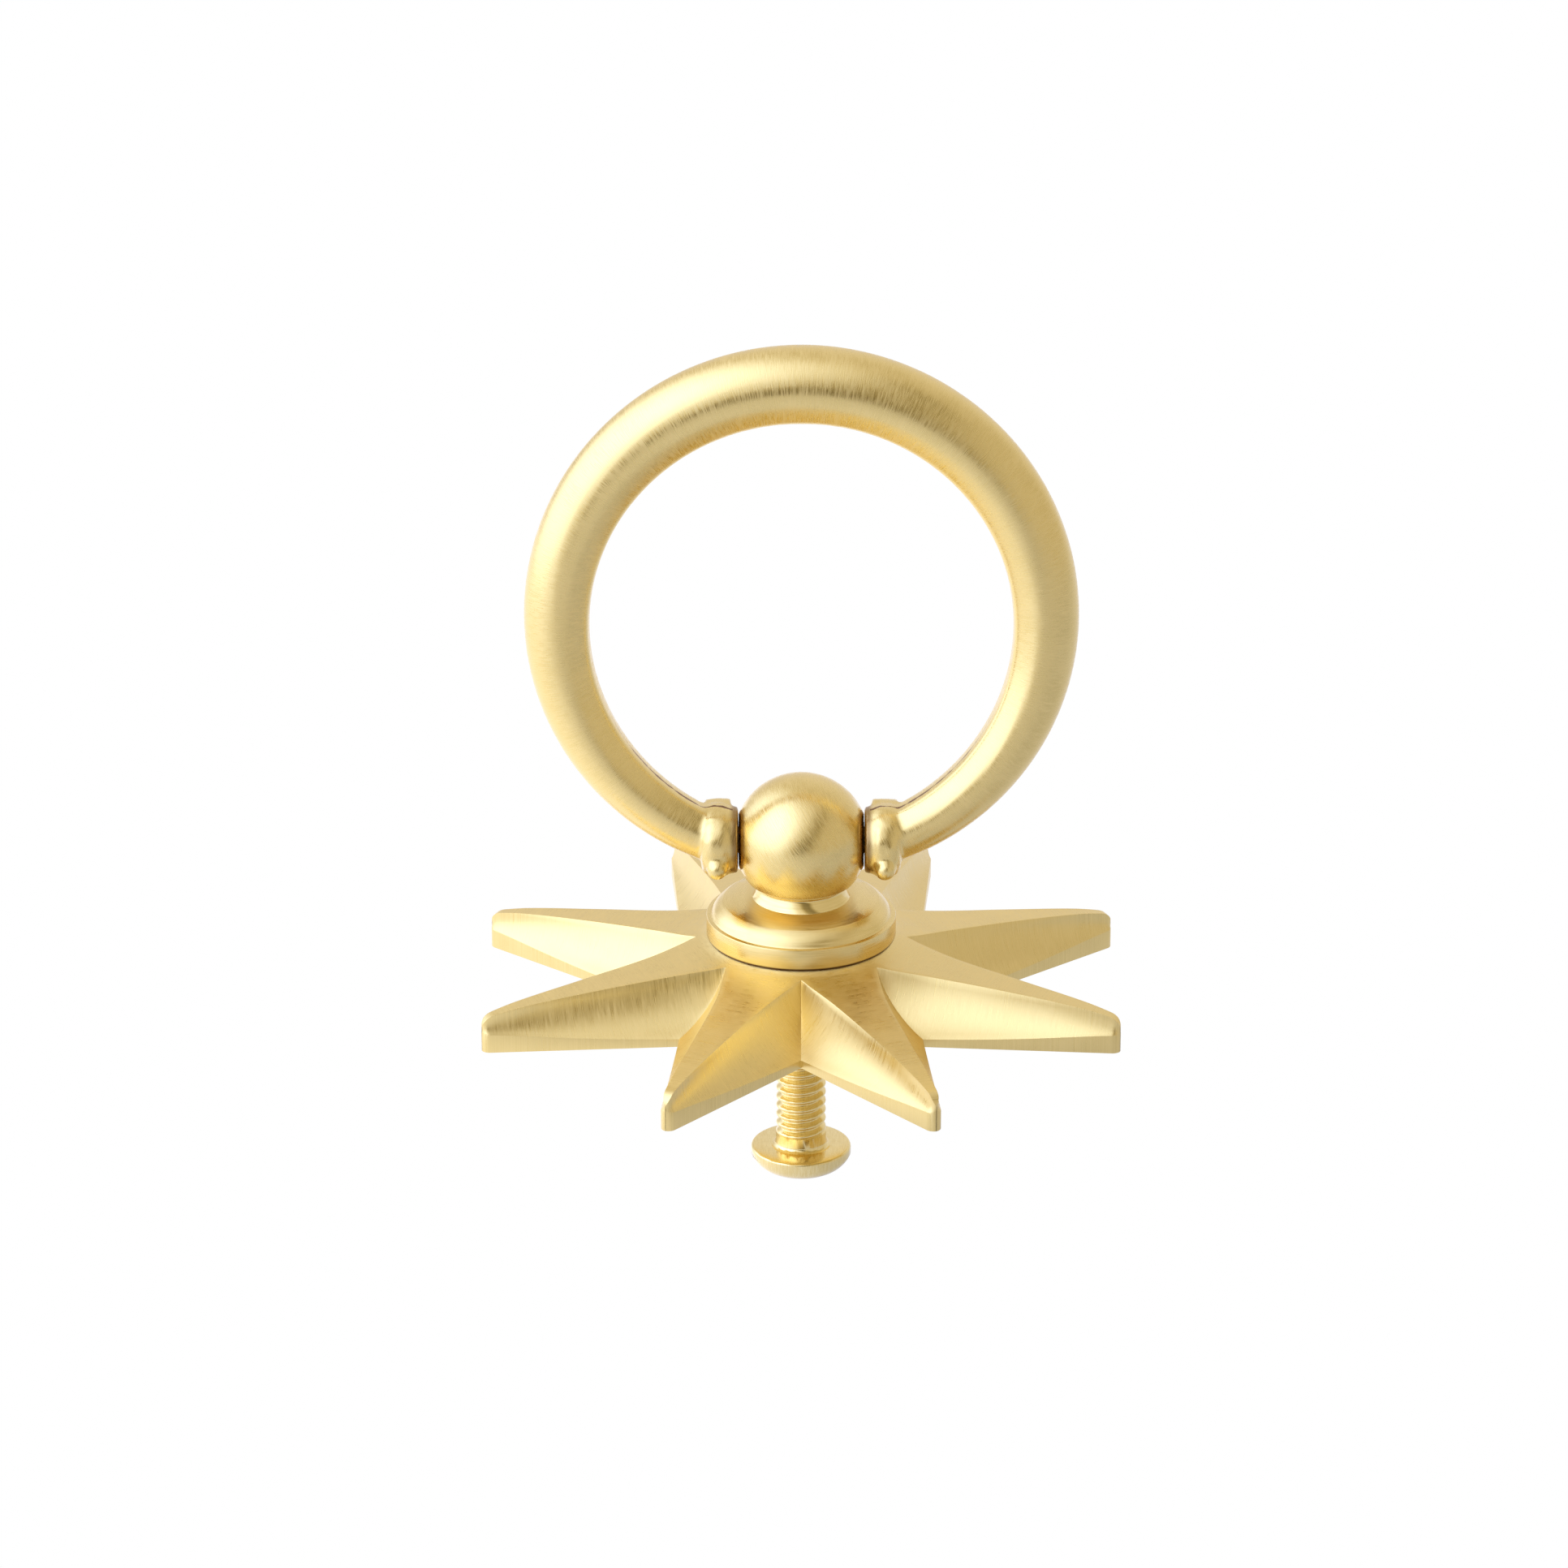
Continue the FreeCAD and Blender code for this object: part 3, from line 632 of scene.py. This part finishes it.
# %% Make the ears uneven
LUMP_SIZE = 1.7 * MM
LUMP_HEIGHT = 0.22 * MM
LUMPS_START = 5.5 * MM
LUMPS_END = 9.2 * MM
LUMPS_FADE = 1.5 * MM
EARS_TOP = 5 * MM
ears = casting.vertex_groups.new(name="ears")
for point in casting.data.vertices:
    nearness = min(LUMPS_END - abs(point.co.x), 2 * (abs(point.co.x) - LUMPS_START)) / LUMPS_FADE
    if nearness > 0 and point.co.z < EARS_TOP:
        ears.add([point.index], min(1.0, nearness), "REPLACE")
lumps = bpy.data.textures.new("casting_lumps", "CLOUDS")
lumps.noise_scale = LUMP_SIZE
uneven = casting.modifiers.new("uneven_casting", "DISPLACE")
uneven.texture = lumps
uneven.texture_coords = "LOCAL"
uneven.strength = LUMP_HEIGHT
uneven.mid_level = 0.5
uneven.vertex_group = ears.name
bpy.ops.object.modifier_apply(modifier=uneven.name)
print("lumps up to", LUMP_HEIGHT / 2 / MM, "mm high")

# %% Add the pegs and lean the ring back
pegs = []
for side in (1, -1):
    start_clean()
    bpy.ops.mesh.primitive_cylinder_add(
        vertices=48, radius=PEG_RADIUS, depth=CHEEK_START - PEG_END,
        location=(side * (PEG_END + CHEEK_START) / 2, 0, 0), rotation=(0, math.pi / 2, 0),
    )
    pegs.append(bpy.context.active_object)
ring = join_pieces([casting, *pegs], "ring_bow")
ring.data.transform(Matrix.Translation((0, 0, PIVOT_HEIGHT)) @ Matrix.Rotation(-RING_LEAN, 4, "X"))
smooth_but_crisp(ring, 50)
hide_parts("ring_handle")
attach(ring, "ring")

# %% [markdown]
# ## Machine screw
# The head keeps the solid's own shape, cut off above its fillet. The thread is one pitch of its outline,
# swept round and up by the Screw modifier, so that each turn ends where the next begins.

# %% Sizes of the screw
PITCH = 0.794 * MM
SHANK_RADIUS = 2.08 * MM
THREAD_RADIUS = 2.07 * MM
ROOT_RADIUS = 1.66 * MM
NECK_TOP = -12.1 * MM
NECK_TAPER = 0.35 * MM
THREAD_START = -12.9 * MM
THREAD_END = 11.9 * MM
BEARING = -13.35 * MM
HEAD_RADIUS = 4.15 * MM
HEAD_ROUND = 0.22 * MM
CORE_OVERLAP = 0.02 * MM
print("the thread has", int((THREAD_END - THREAD_START) / PITCH), "turns")

# %% Cut the head from the solid
solid_screw = bpy.data.objects["mounting_screw"]
take_up(solid_screw)
bpy.ops.object.duplicate()
head = bpy.context.active_object
merge_and_turn_out()
bpy.ops.object.mode_set(mode="EDIT")
bpy.ops.mesh.select_all(action="SELECT")
bpy.ops.mesh.bisect(plane_co=(0, 0, NECK_TOP), plane_no=(0, 0, 1), use_fill=True, clear_outer=True)
bpy.ops.mesh.select_all(action="DESELECT")
bpy.ops.object.mode_set(mode="OBJECT")


def on_head_rim(place):
    """Whether a point lies on the rim round the face that bears on the wood."""
    return abs(place.z - BEARING) < RIM_TOLERANCE / 2 and place.xy.length > HEAD_RADIUS - RIM_TOLERANCE


for edge in head.data.edges:
    edge.select = all(on_head_rim(head.data.vertices[index].co) for index in edge.vertices)
bpy.ops.object.mode_set(mode="EDIT")
bpy.ops.mesh.bevel(offset=HEAD_ROUND, segments=4)
bpy.ops.object.mode_set(mode="OBJECT")
print("head:", len(head.data.polygons), "faces")

# %% Sweep the thread
THREAD_STEPS = 12
CREST_FULLNESS = 0.7


def thread_reach(share):
    """Distance from the screw's axis at a share of one pitch: a round crest and a narrower groove."""
    wave = 0.5 - 0.5 * math.cos(2 * math.pi * share)
    return ROOT_RADIUS + (THREAD_RADIUS - ROOT_RADIUS) * wave**CREST_FULLNESS


outline = [(thread_reach(step / THREAD_STEPS), PITCH * step / THREAD_STEPS) for step in range(THREAD_STEPS + 1)]
start_clean()
bpy.ops.mesh.primitive_circle_add(vertices=len(outline), radius=1.0)
thread = bpy.context.active_object
for point, (across, up) in zip(thread.data.vertices, outline):
    point.co = (across, 0, THREAD_START + up)
choose_points(thread, lambda place: min(place.z - THREAD_START, THREAD_START + PITCH - place.z) < HAIR)
bpy.ops.mesh.delete(type="EDGE_FACE")
bpy.ops.object.mode_set(mode="OBJECT")
sweep = thread.modifiers.new("thread", "SCREW")
sweep.axis = "Z"
sweep.screw_offset = PITCH
sweep.iterations = int((THREAD_END - THREAD_START) / PITCH) - 1
sweep.steps = 48
sweep.render_steps = 48
bpy.ops.object.modifier_apply(modifier=sweep.name)
merge_and_turn_out()
bpy.ops.object.mode_set(mode="EDIT")
fill_open_rims()
merge_and_turn_out()
print("thread:", len(thread.data.polygons), "faces")

# %% Neck between head and thread, and the core
start_clean()
bpy.ops.mesh.primitive_cone_add(
    vertices=64, radius1=SHANK_RADIUS, radius2=ROOT_RADIUS, depth=NECK_TAPER, location=(0, 0, NECK_TOP + NECK_TAPER / 2)
)
neck = bpy.context.active_object
core_length = THREAD_END - NECK_TOP
bpy.ops.mesh.primitive_cylinder_add(
    vertices=64, radius=ROOT_RADIUS + CORE_OVERLAP, depth=core_length, location=(0, 0, NECK_TOP + core_length / 2)
)
core = bpy.context.active_object
screw = join_pieces([head, thread, neck, core], "threaded_screw")
smooth_but_crisp(screw, 50)
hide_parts("mounting_screw")
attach(screw, "base")

# %% [markdown]
# ## Nodes
# The floor, the sky and the brass are all made of nodes. This helper adds a node, wires what feeds it
# and hands on its result, so that a finish reads like a short sum.


# %% A helper for adding and wiring nodes
class NodeBench:
    """Adds the nodes of one material or world and wires them up."""

    def __init__(self, tree):
        self.nodes = tree.nodes
        self.links = tree.links

    def put(self, socket, value):
        """Set a socket to a number or vector, or link it to another socket."""
        if isinstance(value, bpy.types.NodeSocket):
            self.links.new(value, socket)
        else:
            socket.default_value = value

    def math(self, operation, first, second=0.0, clamp=False):
        node = self.nodes.new("ShaderNodeMath")
        node.operation = operation
        node.use_clamp = clamp
        self.put(node.inputs[0], first)
        self.put(node.inputs[1], second)
        return node.outputs[0]

    def vector_math(self, operation, first, second=(0.0, 0.0, 0.0)):
        node = self.nodes.new("ShaderNodeVectorMath")
        node.operation = operation
        self.put(node.inputs[0], first)
        self.put(node.inputs[1], second)
        return node.outputs

    def dot(self, vector, direction):
        """How far a vector points in a direction."""
        return self.vector_math("DOT_PRODUCT", vector, direction)["Value"]

    def split(self, vector):
        node = self.nodes.new("ShaderNodeSeparateXYZ")
        self.put(node.inputs[0], vector)
        return node.outputs

    def ramp(self, value, low, high, to_low=0.0, to_high=1.0, smooth=True):
        """Follow a value between two limits, with a soft start and end where it is smooth."""
        node = self.nodes.new("ShaderNodeMapRange")
        node.interpolation_type = "SMOOTHSTEP" if smooth else "LINEAR"
        self.put(node.inputs["Value"], value)
        self.put(node.inputs["From Min"], low)
        self.put(node.inputs["From Max"], high)
        self.put(node.inputs["To Min"], to_low)
        self.put(node.inputs["To Max"], to_high)
        return node.outputs["Result"]

    def mixed(self, share, first, second, kind="RGBA"):
        """Mix two colours, numbers or vectors."""
        node = self.nodes.new("ShaderNodeMix")
        node.data_type = kind
        self.put(node.inputs["Factor"], share)
        self.put(node.inputs["A"], first)
        self.put(node.inputs["B"], second)
        return node.outputs["Result"]

    def mixed_shader(self, share, first, second):
        node = self.nodes.new("ShaderNodeMixShader")
        self.put(node.inputs[0], share)
        self.put(node.inputs[1], first)
        self.put(node.inputs[2], second)
        return node.outputs[0]


WHITE = (1.0, 1.0, 1.0, 1.0)
print("the bench can", ", ".join(name for name in vars(NodeBench) if not name.startswith("_")))

# %% [markdown]
# ## Floor and light
# The real piece lies on a seamless white sheet. The floor is a pale disc under the screw's head. The camera sees it
# as plain white, and the metal mirrors it brighter on the left, where the light comes from, than on the right.

# %% Pale floor under the screw's head
FLOOR_HEIGHT = cad_box[0][2]
FLOOR_RADIUS = 0.6
FLOOR_GREY = (0.8, 0.8, 0.8, 1.0)
FLOOR_TINT = (0.97, 1.0, 1.2, 1.0)
FLOOR_DIM = 0.62
FLOOR_BRIGHT = 1.35
LIT_SIDE = (-1.0, 0.5, 0.0)
LIT_LENGTH = 1.1


def floor_paint():
    """A pale surface that the camera sees as white and the metal mirrors as a sheet lit from the left."""
    paint = bpy.data.materials.new("floor_white")
    paint.use_nodes = True
    bench = NodeBench(paint.node_tree)
    bench.nodes.clear()
    path = bench.nodes.new("ShaderNodeLightPath").outputs
    place = bench.nodes.new("ShaderNodeTexCoord").outputs["Object"]
    outwards = bench.vector_math("NORMALIZE", place)["Vector"]
    mirrored = bench.ramp(bench.dot(outwards, LIT_SIDE), -LIT_LENGTH, LIT_LENGTH, FLOOR_DIM, FLOOR_BRIGHT, smooth=False)
    matt = bench.nodes.new("ShaderNodeBsdfDiffuse")
    matt.inputs["Color"].default_value = FLOOR_GREY
    glow = bench.nodes.new("ShaderNodeEmission")
    bench.put(glow.inputs["Color"], bench.mixed(path["Is Camera Ray"], FLOOR_TINT, WHITE))
    bench.put(glow.inputs["Strength"], bench.mixed(path["Is Camera Ray"], mirrored, 1.0, kind="FLOAT"))
    seen_or_mirrored = bench.math("MAXIMUM", path["Is Camera Ray"], path["Is Glossy Ray"])
    output = bench.nodes.new("ShaderNodeOutputMaterial")
    bench.put(output.inputs["Surface"], bench.mixed_shader(seen_or_mirrored, matt.outputs[0], glow.outputs[0]))
    return paint


start_clean()
bpy.ops.mesh.primitive_circle_add(vertices=96, radius=FLOOR_RADIUS, fill_type="NGON", location=(0, 0, FLOOR_HEIGHT))
floor = bpy.context.active_object
floor.name = "floor"
floor.data.materials.append(floor_paint())
print("floor at", round(FLOOR_HEIGHT / MM, 2), "mm")

# %% [markdown]
# ### Studio
# Satin metal is only as good as what it mirrors. In a plain white world brass looks like plastic, so the sky that
# the metal mirrors has a large soft light low on the left, three faint ones above, in front and behind, and one
# dark band, which is the camera's side of the room and draws the dark streaks on the ball and the ring.
# The dim parts of the sky are warm and the bright parts cool, so that a highlight turns pale and a shade stays gold.

# %% Sizes of the sky
SKY_LEVEL = 0.64
# Direction of each light, where its glow ends and is full as the cosine of the angle to it, and its strength
SKY_GLOWS = [
    ((-0.91, -0.19, 0.37), 0.35, 0.93, 1.3),
    ((-0.32, -0.27, 0.91), 0.55, 0.97, 0.22),
    ((-0.11, -0.63, 0.77), 0.65, 0.98, 0.22),
    ((0.09, 0.98, 0.17), 0.35, 0.95, 0.18),
]
DARK_SIDE = (-0.832, -0.028, 0.554)
DARK_PLACE = 0.05
DARK_CORE = 0.07
DARK_EDGE = 0.28
DARK_FULL_Y = -0.5
DARK_END_Y = 0.15
DARK_STRENGTH = -0.5
SKY_DIM = (1.12, 0.98, 0.7, 1.0)
SKY_BRIGHT = (0.92, 1.07, 1.6, 1.0)
WARM_LEVEL = 0.35
COOL_LEVEL = 1.5
print("the sky has", len(SKY_GLOWS), "soft lights")

# %% World that the metal mirrors
bpy.context.scene.view_settings.view_transform = "Standard"
world = bpy.data.worlds.new("studio")
bpy.context.scene.world = world
world.use_nodes = True
sky = NodeBench(world.node_tree)
sky_place = sky.nodes.new("ShaderNodeTexCoord").outputs["Generated"]
sky_path = sky.nodes.new("ShaderNodeLightPath").outputs
level = SKY_LEVEL
for direction, ends, full, strength in SKY_GLOWS:
    glow = sky.ramp(sky.dot(sky_place, Vector(direction).normalized()), ends, full)
    level = sky.math("ADD", sky.math("MULTIPLY", glow, strength), level)

beside_band = sky.math("ABSOLUTE", sky.math("SUBTRACT", sky.dot(sky_place, DARK_SIDE), DARK_PLACE))
in_band = sky.math("SUBTRACT", 1.0, sky.ramp(beside_band, DARK_CORE, DARK_EDGE))
in_front = sky.math("SUBTRACT", 1.0, sky.ramp(sky.split(sky_place)[1], DARK_FULL_Y, DARK_END_Y))
dark = sky.math("MULTIPLY", in_band, in_front)
level = sky.math("ADD", sky.math("MULTIPLY", dark, DARK_STRENGTH), level)

mirrored = sky.nodes["Background"]
cool_share = sky.ramp(level, WARM_LEVEL, COOL_LEVEL, smooth=False)
sky.put(mirrored.inputs["Color"], sky.mixed(cool_share, SKY_DIM, SKY_BRIGHT))
sky.put(mirrored.inputs["Strength"], level)
plain = sky.nodes.new("ShaderNodeBackground")
plain.inputs["Color"].default_value = WHITE
choice = sky.mixed_shader(sky_path["Is Glossy Ray"], plain.outputs[0], mirrored.outputs[0])
sky.put(sky.nodes["World Output"].inputs["Surface"], choice)
print("the sky has", len(sky.nodes), "nodes")

# %% [markdown]
# ## Brushed brass
# The whole pull was rubbed with an abrasive pad, so each surface carries fine parallel scratches, which widen
# every highlight across them. A noise that is squeezed in one direction gives the scratches: it drives a slight
# bump, the roughness and a little colour. Each piece only chooses the direction.

# %% Colours and scratches
BRASS_LIGHT = (0.88, 0.68, 0.28, 1.0)
BRASS_DARK = (0.78, 0.59, 0.22, 1.0)
# Grains to a millimetre across the scratches, along them and in depth
FINE_GRAINS = (15.0, 1.1, 1.2)
COARSE_GRAINS = (5.5, 0.7, 0.7)
CLOUD_GRAINS = (0.45, 0.45, 0.45)
FINE_SHARE = 0.72
SCRATCH_TONE = 0.75
SCRATCH_DEPTH = 0.02 * MM
CLOUD_ROUGHNESS = (-0.02, 0.03)
POLISHED_ROUGHNESS = 0.08


class Finish(NodeBench):
    """A metal whose finish is built up node by node."""

    def __init__(self, name):
        self.paint = bpy.data.materials.new(name)
        self.paint.use_nodes = True
        super().__init__(self.paint.node_tree)
        self.shader = self.nodes["Principled BSDF"]
        self.shader.inputs["Metallic"].default_value = 1.0
        self.place = self.nodes.new("ShaderNodeTexCoord").outputs["Object"]

    def joined(self, x, y, z):
        node = self.nodes.new("ShaderNodeCombineXYZ")
        for socket, value in zip(node.inputs, (x, y, z)):
            self.put(socket, value)
        return node.outputs[0]

    def length(self, first, second):
        """How long the arrow is that has these two parts."""
        squares = self.math("ADD", self.math("MULTIPLY", first, first), self.math("MULTIPLY", second, second))
        return self.math("SQRT", squares)

    def noise(self, place, grains, detail=2.0):
        """Noise around a half, with so many grains to a millimetre of each axis."""
        node = self.nodes.new("ShaderNodeTexNoise")
        per_metre = [grain / MM for grain in grains]
        self.put(node.inputs["Vector"], self.vector_math("MULTIPLY", place, per_metre)["Vector"])
        node.inputs["Scale"].default_value = 1.0
        node.inputs["Detail"].default_value = detail
        return node.outputs["Fac"]

    def shade(self, share, colour, brown):
        """Mix a brown into the colour and give the result to the metal."""
        self.put(self.shader.inputs["Base Color"], self.mixed(share, colour, brown))


print("brass mirrors", BRASS_LIGHT[:3], "and in its scratches", BRASS_DARK[:3])


# %% One finish, with the grain's direction as its input
def brush(finish, grain, polish=0.0, dull=0.0, roughness=(0.2, 0.42), bump=0.5, dark=BRASS_DARK, light=BRASS_LIGHT):
    """Scratches along the grain's second axis. Where polish is 1 the metal is smooth and bright."""
    fine = finish.noise(grain, FINE_GRAINS)
    coarse = finish.noise(grain, COARSE_GRAINS)
    cloud = finish.noise(finish.place, CLOUD_GRAINS)
    scratch = finish.mixed(FINE_SHARE, coarse, fine, kind="FLOAT")
    matt = finish.math("SUBTRACT", 1.0, polish, clamp=True)

    rough = finish.ramp(scratch, 0.3, 0.7, *roughness)
    rough = finish.math("ADD", rough, finish.ramp(cloud, 0.3, 0.7, *CLOUD_ROUGHNESS))
    rough = finish.math("ADD", rough, dull)
    smooth = finish.math("MULTIPLY", polish, POLISHED_ROUGHNESS)
    finish.put(finish.shader.inputs["Roughness"], finish.math("ADD", finish.math("MULTIPLY", rough, matt), smooth))

    tone = finish.mixed(SCRATCH_TONE, cloud, scratch, kind="FLOAT")
    colour = finish.mixed(finish.ramp(tone, 0.32, 0.68), dark, light)
    finish.put(finish.shader.inputs["Base Color"], colour)

    relief = finish.nodes.new("ShaderNodeBump")
    relief.inputs["Distance"].default_value = SCRATCH_DEPTH
    finish.put(relief.inputs["Strength"], finish.math("MULTIPLY", matt, bump))
    finish.put(relief.inputs["Height"], scratch)
    finish.put(finish.shader.inputs["Normal"], relief.outputs["Normal"])
    return colour


def paint_piece(piece, finish):
    """Give a piece its one finish."""
    piece.data.materials.clear()
    piece.data.materials.append(finish.paint)
    print(piece.name, "is finished with", finish.paint.name)


# %% Star: scratches across each ray
star_finish = Finish("star_brass")
ray_place = star_finish.nodes.new("ShaderNodeUVMap")
ray_place.uv_map = star.data.uv_layers[0].name
ray_grain = star_finish.vector_math("MULTIPLY", ray_place.outputs["UV"], (MM, MM, MM))["Vector"]
brush(star_finish, ray_grain, dull=0.05, bump=0.34)
paint_piece(star, star_finish)

# %% [markdown]
# ### The ring's finish
# The scratches run round the ring's section, so the pattern is measured in the ring's own upright place, with its
# lean undone. Where the two halves of the mould met, a thin brown seam is left beside the ears, and a painted
# brown shade darkens the ears where they turn close to the ball, standing in for the shade of the narrow gap.

# %% Ring: scratches round the section
ring_finish = Finish("ring_brass")
unlean = ring_finish.nodes.new("ShaderNodeMapping")
unlean.vector_type = "POINT"
turned_back = Matrix.Rotation(RING_LEAN, 4, "X") @ Matrix.Translation((0, 0, -PIVOT_HEIGHT))
unlean.inputs["Location"].default_value = turned_back.translation
unlean.inputs["Rotation"].default_value = (RING_LEAN, 0, 0)
ring_finish.put(unlean.inputs["Vector"], ring_finish.place)
ring_x, ring_y, ring_z = ring_finish.split(unlean.outputs["Vector"])
ring_up = ring_finish.math("SUBTRACT", ring_z, RING_OFFSET)
ring_angle = ring_finish.math("ARCTAN2", ring_x, ring_up)
round_ring = ring_finish.math("MULTIPLY", ring_angle, RING_RADIUS)
middle_distance = ring_finish.length(ring_x, ring_up)
ring_colour = brush(ring_finish, ring_finish.joined(round_ring, ring_y, middle_distance))
paint_piece(ring, ring_finish)

# %% Ring: parting seam, and painted shade beside the ball
# Brown of the parting seam, also used for the painted shade of the gap beside the ball
SEAM_AND_GAP_SHADE_BROWN = (0.22, 0.10, 0.03, 1.0)
SEAM_GRAINS = (0.9, 0.9, 0.9)
SEAM_PLACE = -0.4 * MM
SEAM_WIDTHS = (0.03 * MM, 0.2 * MM)
SEAM_DEPTH = 1.0 * MM
SEAM_ANGLES = (math.radians(112), math.radians(140))
SEAM_EAR_EDGE = 5.6 * MM
SHADE_FULL = 5.45 * MM
SHADE_END = 5.95 * MM
SHADE_STRENGTH = 0.75
aside = ring_finish.math("ABSOLUTE", ring_x)
seam_wobble = ring_finish.noise(ring_finish.place, SEAM_GRAINS, detail=3.0)
seam_wide = ring_finish.ramp(seam_wobble, 0.35, 0.65, *SEAM_WIDTHS)
off_seam = ring_finish.math("ABSOLUTE", ring_finish.math("SUBTRACT", ring_y, SEAM_PLACE))
seam = ring_finish.math("LESS_THAN", off_seam, seam_wide)
for place in (
    ring_finish.math("LESS_THAN", middle_distance, RING_RADIUS - SEAM_DEPTH),
    ring_finish.ramp(ring_finish.math("ABSOLUTE", ring_angle), *SEAM_ANGLES),
    ring_finish.math("GREATER_THAN", aside, SEAM_EAR_EDGE),
):
    seam = ring_finish.math("MULTIPLY", seam, place)
# Painted shade: the ears are darkened brown where they come close to the ball, standing in for the shade of the narrow
# gap
painted_gap_shade = ring_finish.ramp(aside, SHADE_FULL, SHADE_END, SHADE_STRENGTH, 0.0)
painted_gap_shade = ring_finish.math("MULTIPLY", painted_gap_shade, ring_finish.math("LESS_THAN", ring_z, EARS_TOP))
ring_finish.shade(ring_finish.math("MAXIMUM", seam, painted_gap_shade), ring_colour, SEAM_AND_GAP_SHADE_BROWN)
print("seam up to", SEAM_WIDTHS[1] * 2 / MM, "mm wide")

# %% [markdown]
# ### The post's finish
# The collar keeps the rings of the lathe, the neck is left polished, and the ball was brushed by hand at a slant.
# The pattern's place is mixed from both, split by height. Below the rim a dark line of painted shadow shows
# where the post stands on the star.

# %% Post: turned collar, polished neck and a ball brushed aslant
NECK_LOW = 9.16 * MM
NECK_HIGH = 10.62 * MM
PIVOT_POLISH_START = 4.1 * MM
PIVOT_POLISH_END = 4.8 * MM
PIVOT_POLISH = 0.4
LATHE_SQUEEZE = 0.4
BALL_SLANT = math.radians(35)
COLLAR_DULL = 0.1
post_finish = Finish("post_brass")
post_x, post_y, post_z = post_finish.split(post_finish.place)
above_foot = post_finish.math("GREATER_THAN", post_z, NECK_LOW)
below_ball = post_finish.math("LESS_THAN", post_z, NECK_HIGH)
on_neck = post_finish.math("MULTIPLY", above_foot, below_ball)
on_ball = post_finish.math("GREATER_THAN", post_z, NECK_HIGH)
on_collar = post_finish.math("LESS_THAN", post_z, NECK_LOW)
beside_pivot = post_finish.ramp(
    post_finish.math("ABSOLUTE", post_x), PIVOT_POLISH_START, PIVOT_POLISH_END, 0.0, PIVOT_POLISH
)
polished = post_finish.math("ADD", on_neck, beside_pivot, clamp=True)
across_turning = post_finish.math("ADD", post_finish.length(post_x, post_y), post_z)
squeezed_x = post_finish.math("MULTIPLY", post_x, LATHE_SQUEEZE)
squeezed_y = post_finish.math("MULTIPLY", post_y, LATHE_SQUEEZE)
lathe_grain = post_finish.joined(across_turning, squeezed_x, squeezed_y)
aslant = post_finish.nodes.new("ShaderNodeMapping")
aslant.inputs["Rotation"].default_value = (0.0, BALL_SLANT, 0.0)
post_finish.put(aslant.inputs["Vector"], post_finish.place)
slant_x, slant_y, slant_z = post_finish.split(aslant.outputs["Vector"])
ball_grain = post_finish.joined(slant_x, slant_z, slant_y)
post_grain = post_finish.mixed(on_ball, lathe_grain, ball_grain, kind="VECTOR")
collar_dull = post_finish.math("MULTIPLY", on_collar, COLLAR_DULL)
post_colour = brush(post_finish, post_grain, polished, collar_dull, roughness=(0.2, 0.37), bump=0.9)
paint_piece(post, post_finish)

# %% Post: the dark line of painted shadow under the rim
# Painted shadow: the foot of the rim is darkened brown where the post stands on the star
CONTACT_SHADOW_BROWN = (0.10, 0.05, 0.02, 1.0)
CONTACT_SHADOW_FULL = 5.88 * MM
CONTACT_SHADOW_END = 6.02 * MM
post_finish.shade(post_finish.ramp(post_z, CONTACT_SHADOW_FULL, CONTACT_SHADOW_END, 1.0, 0.0), post_colour, CONTACT_SHADOW_BROWN)
print("the line under the rim is", round((CONTACT_SHADOW_END - HUB_HEIGHT) / MM, 2), "mm high")

# %% Screw: bright plating with a pale yellow tint
PLATING_DARK = (0.8, 0.61, 0.24, 1.0)
PLATING_LIGHT = (0.92, 0.75, 0.36, 1.0)
screw_finish = Finish("plated_screw")
brush(screw_finish, screw_finish.place, roughness=(0.12, 0.22), bump=0.15, dark=PLATING_DARK, light=PLATING_LIGHT)
paint_piece(screw, screw_finish)

# %% [markdown]
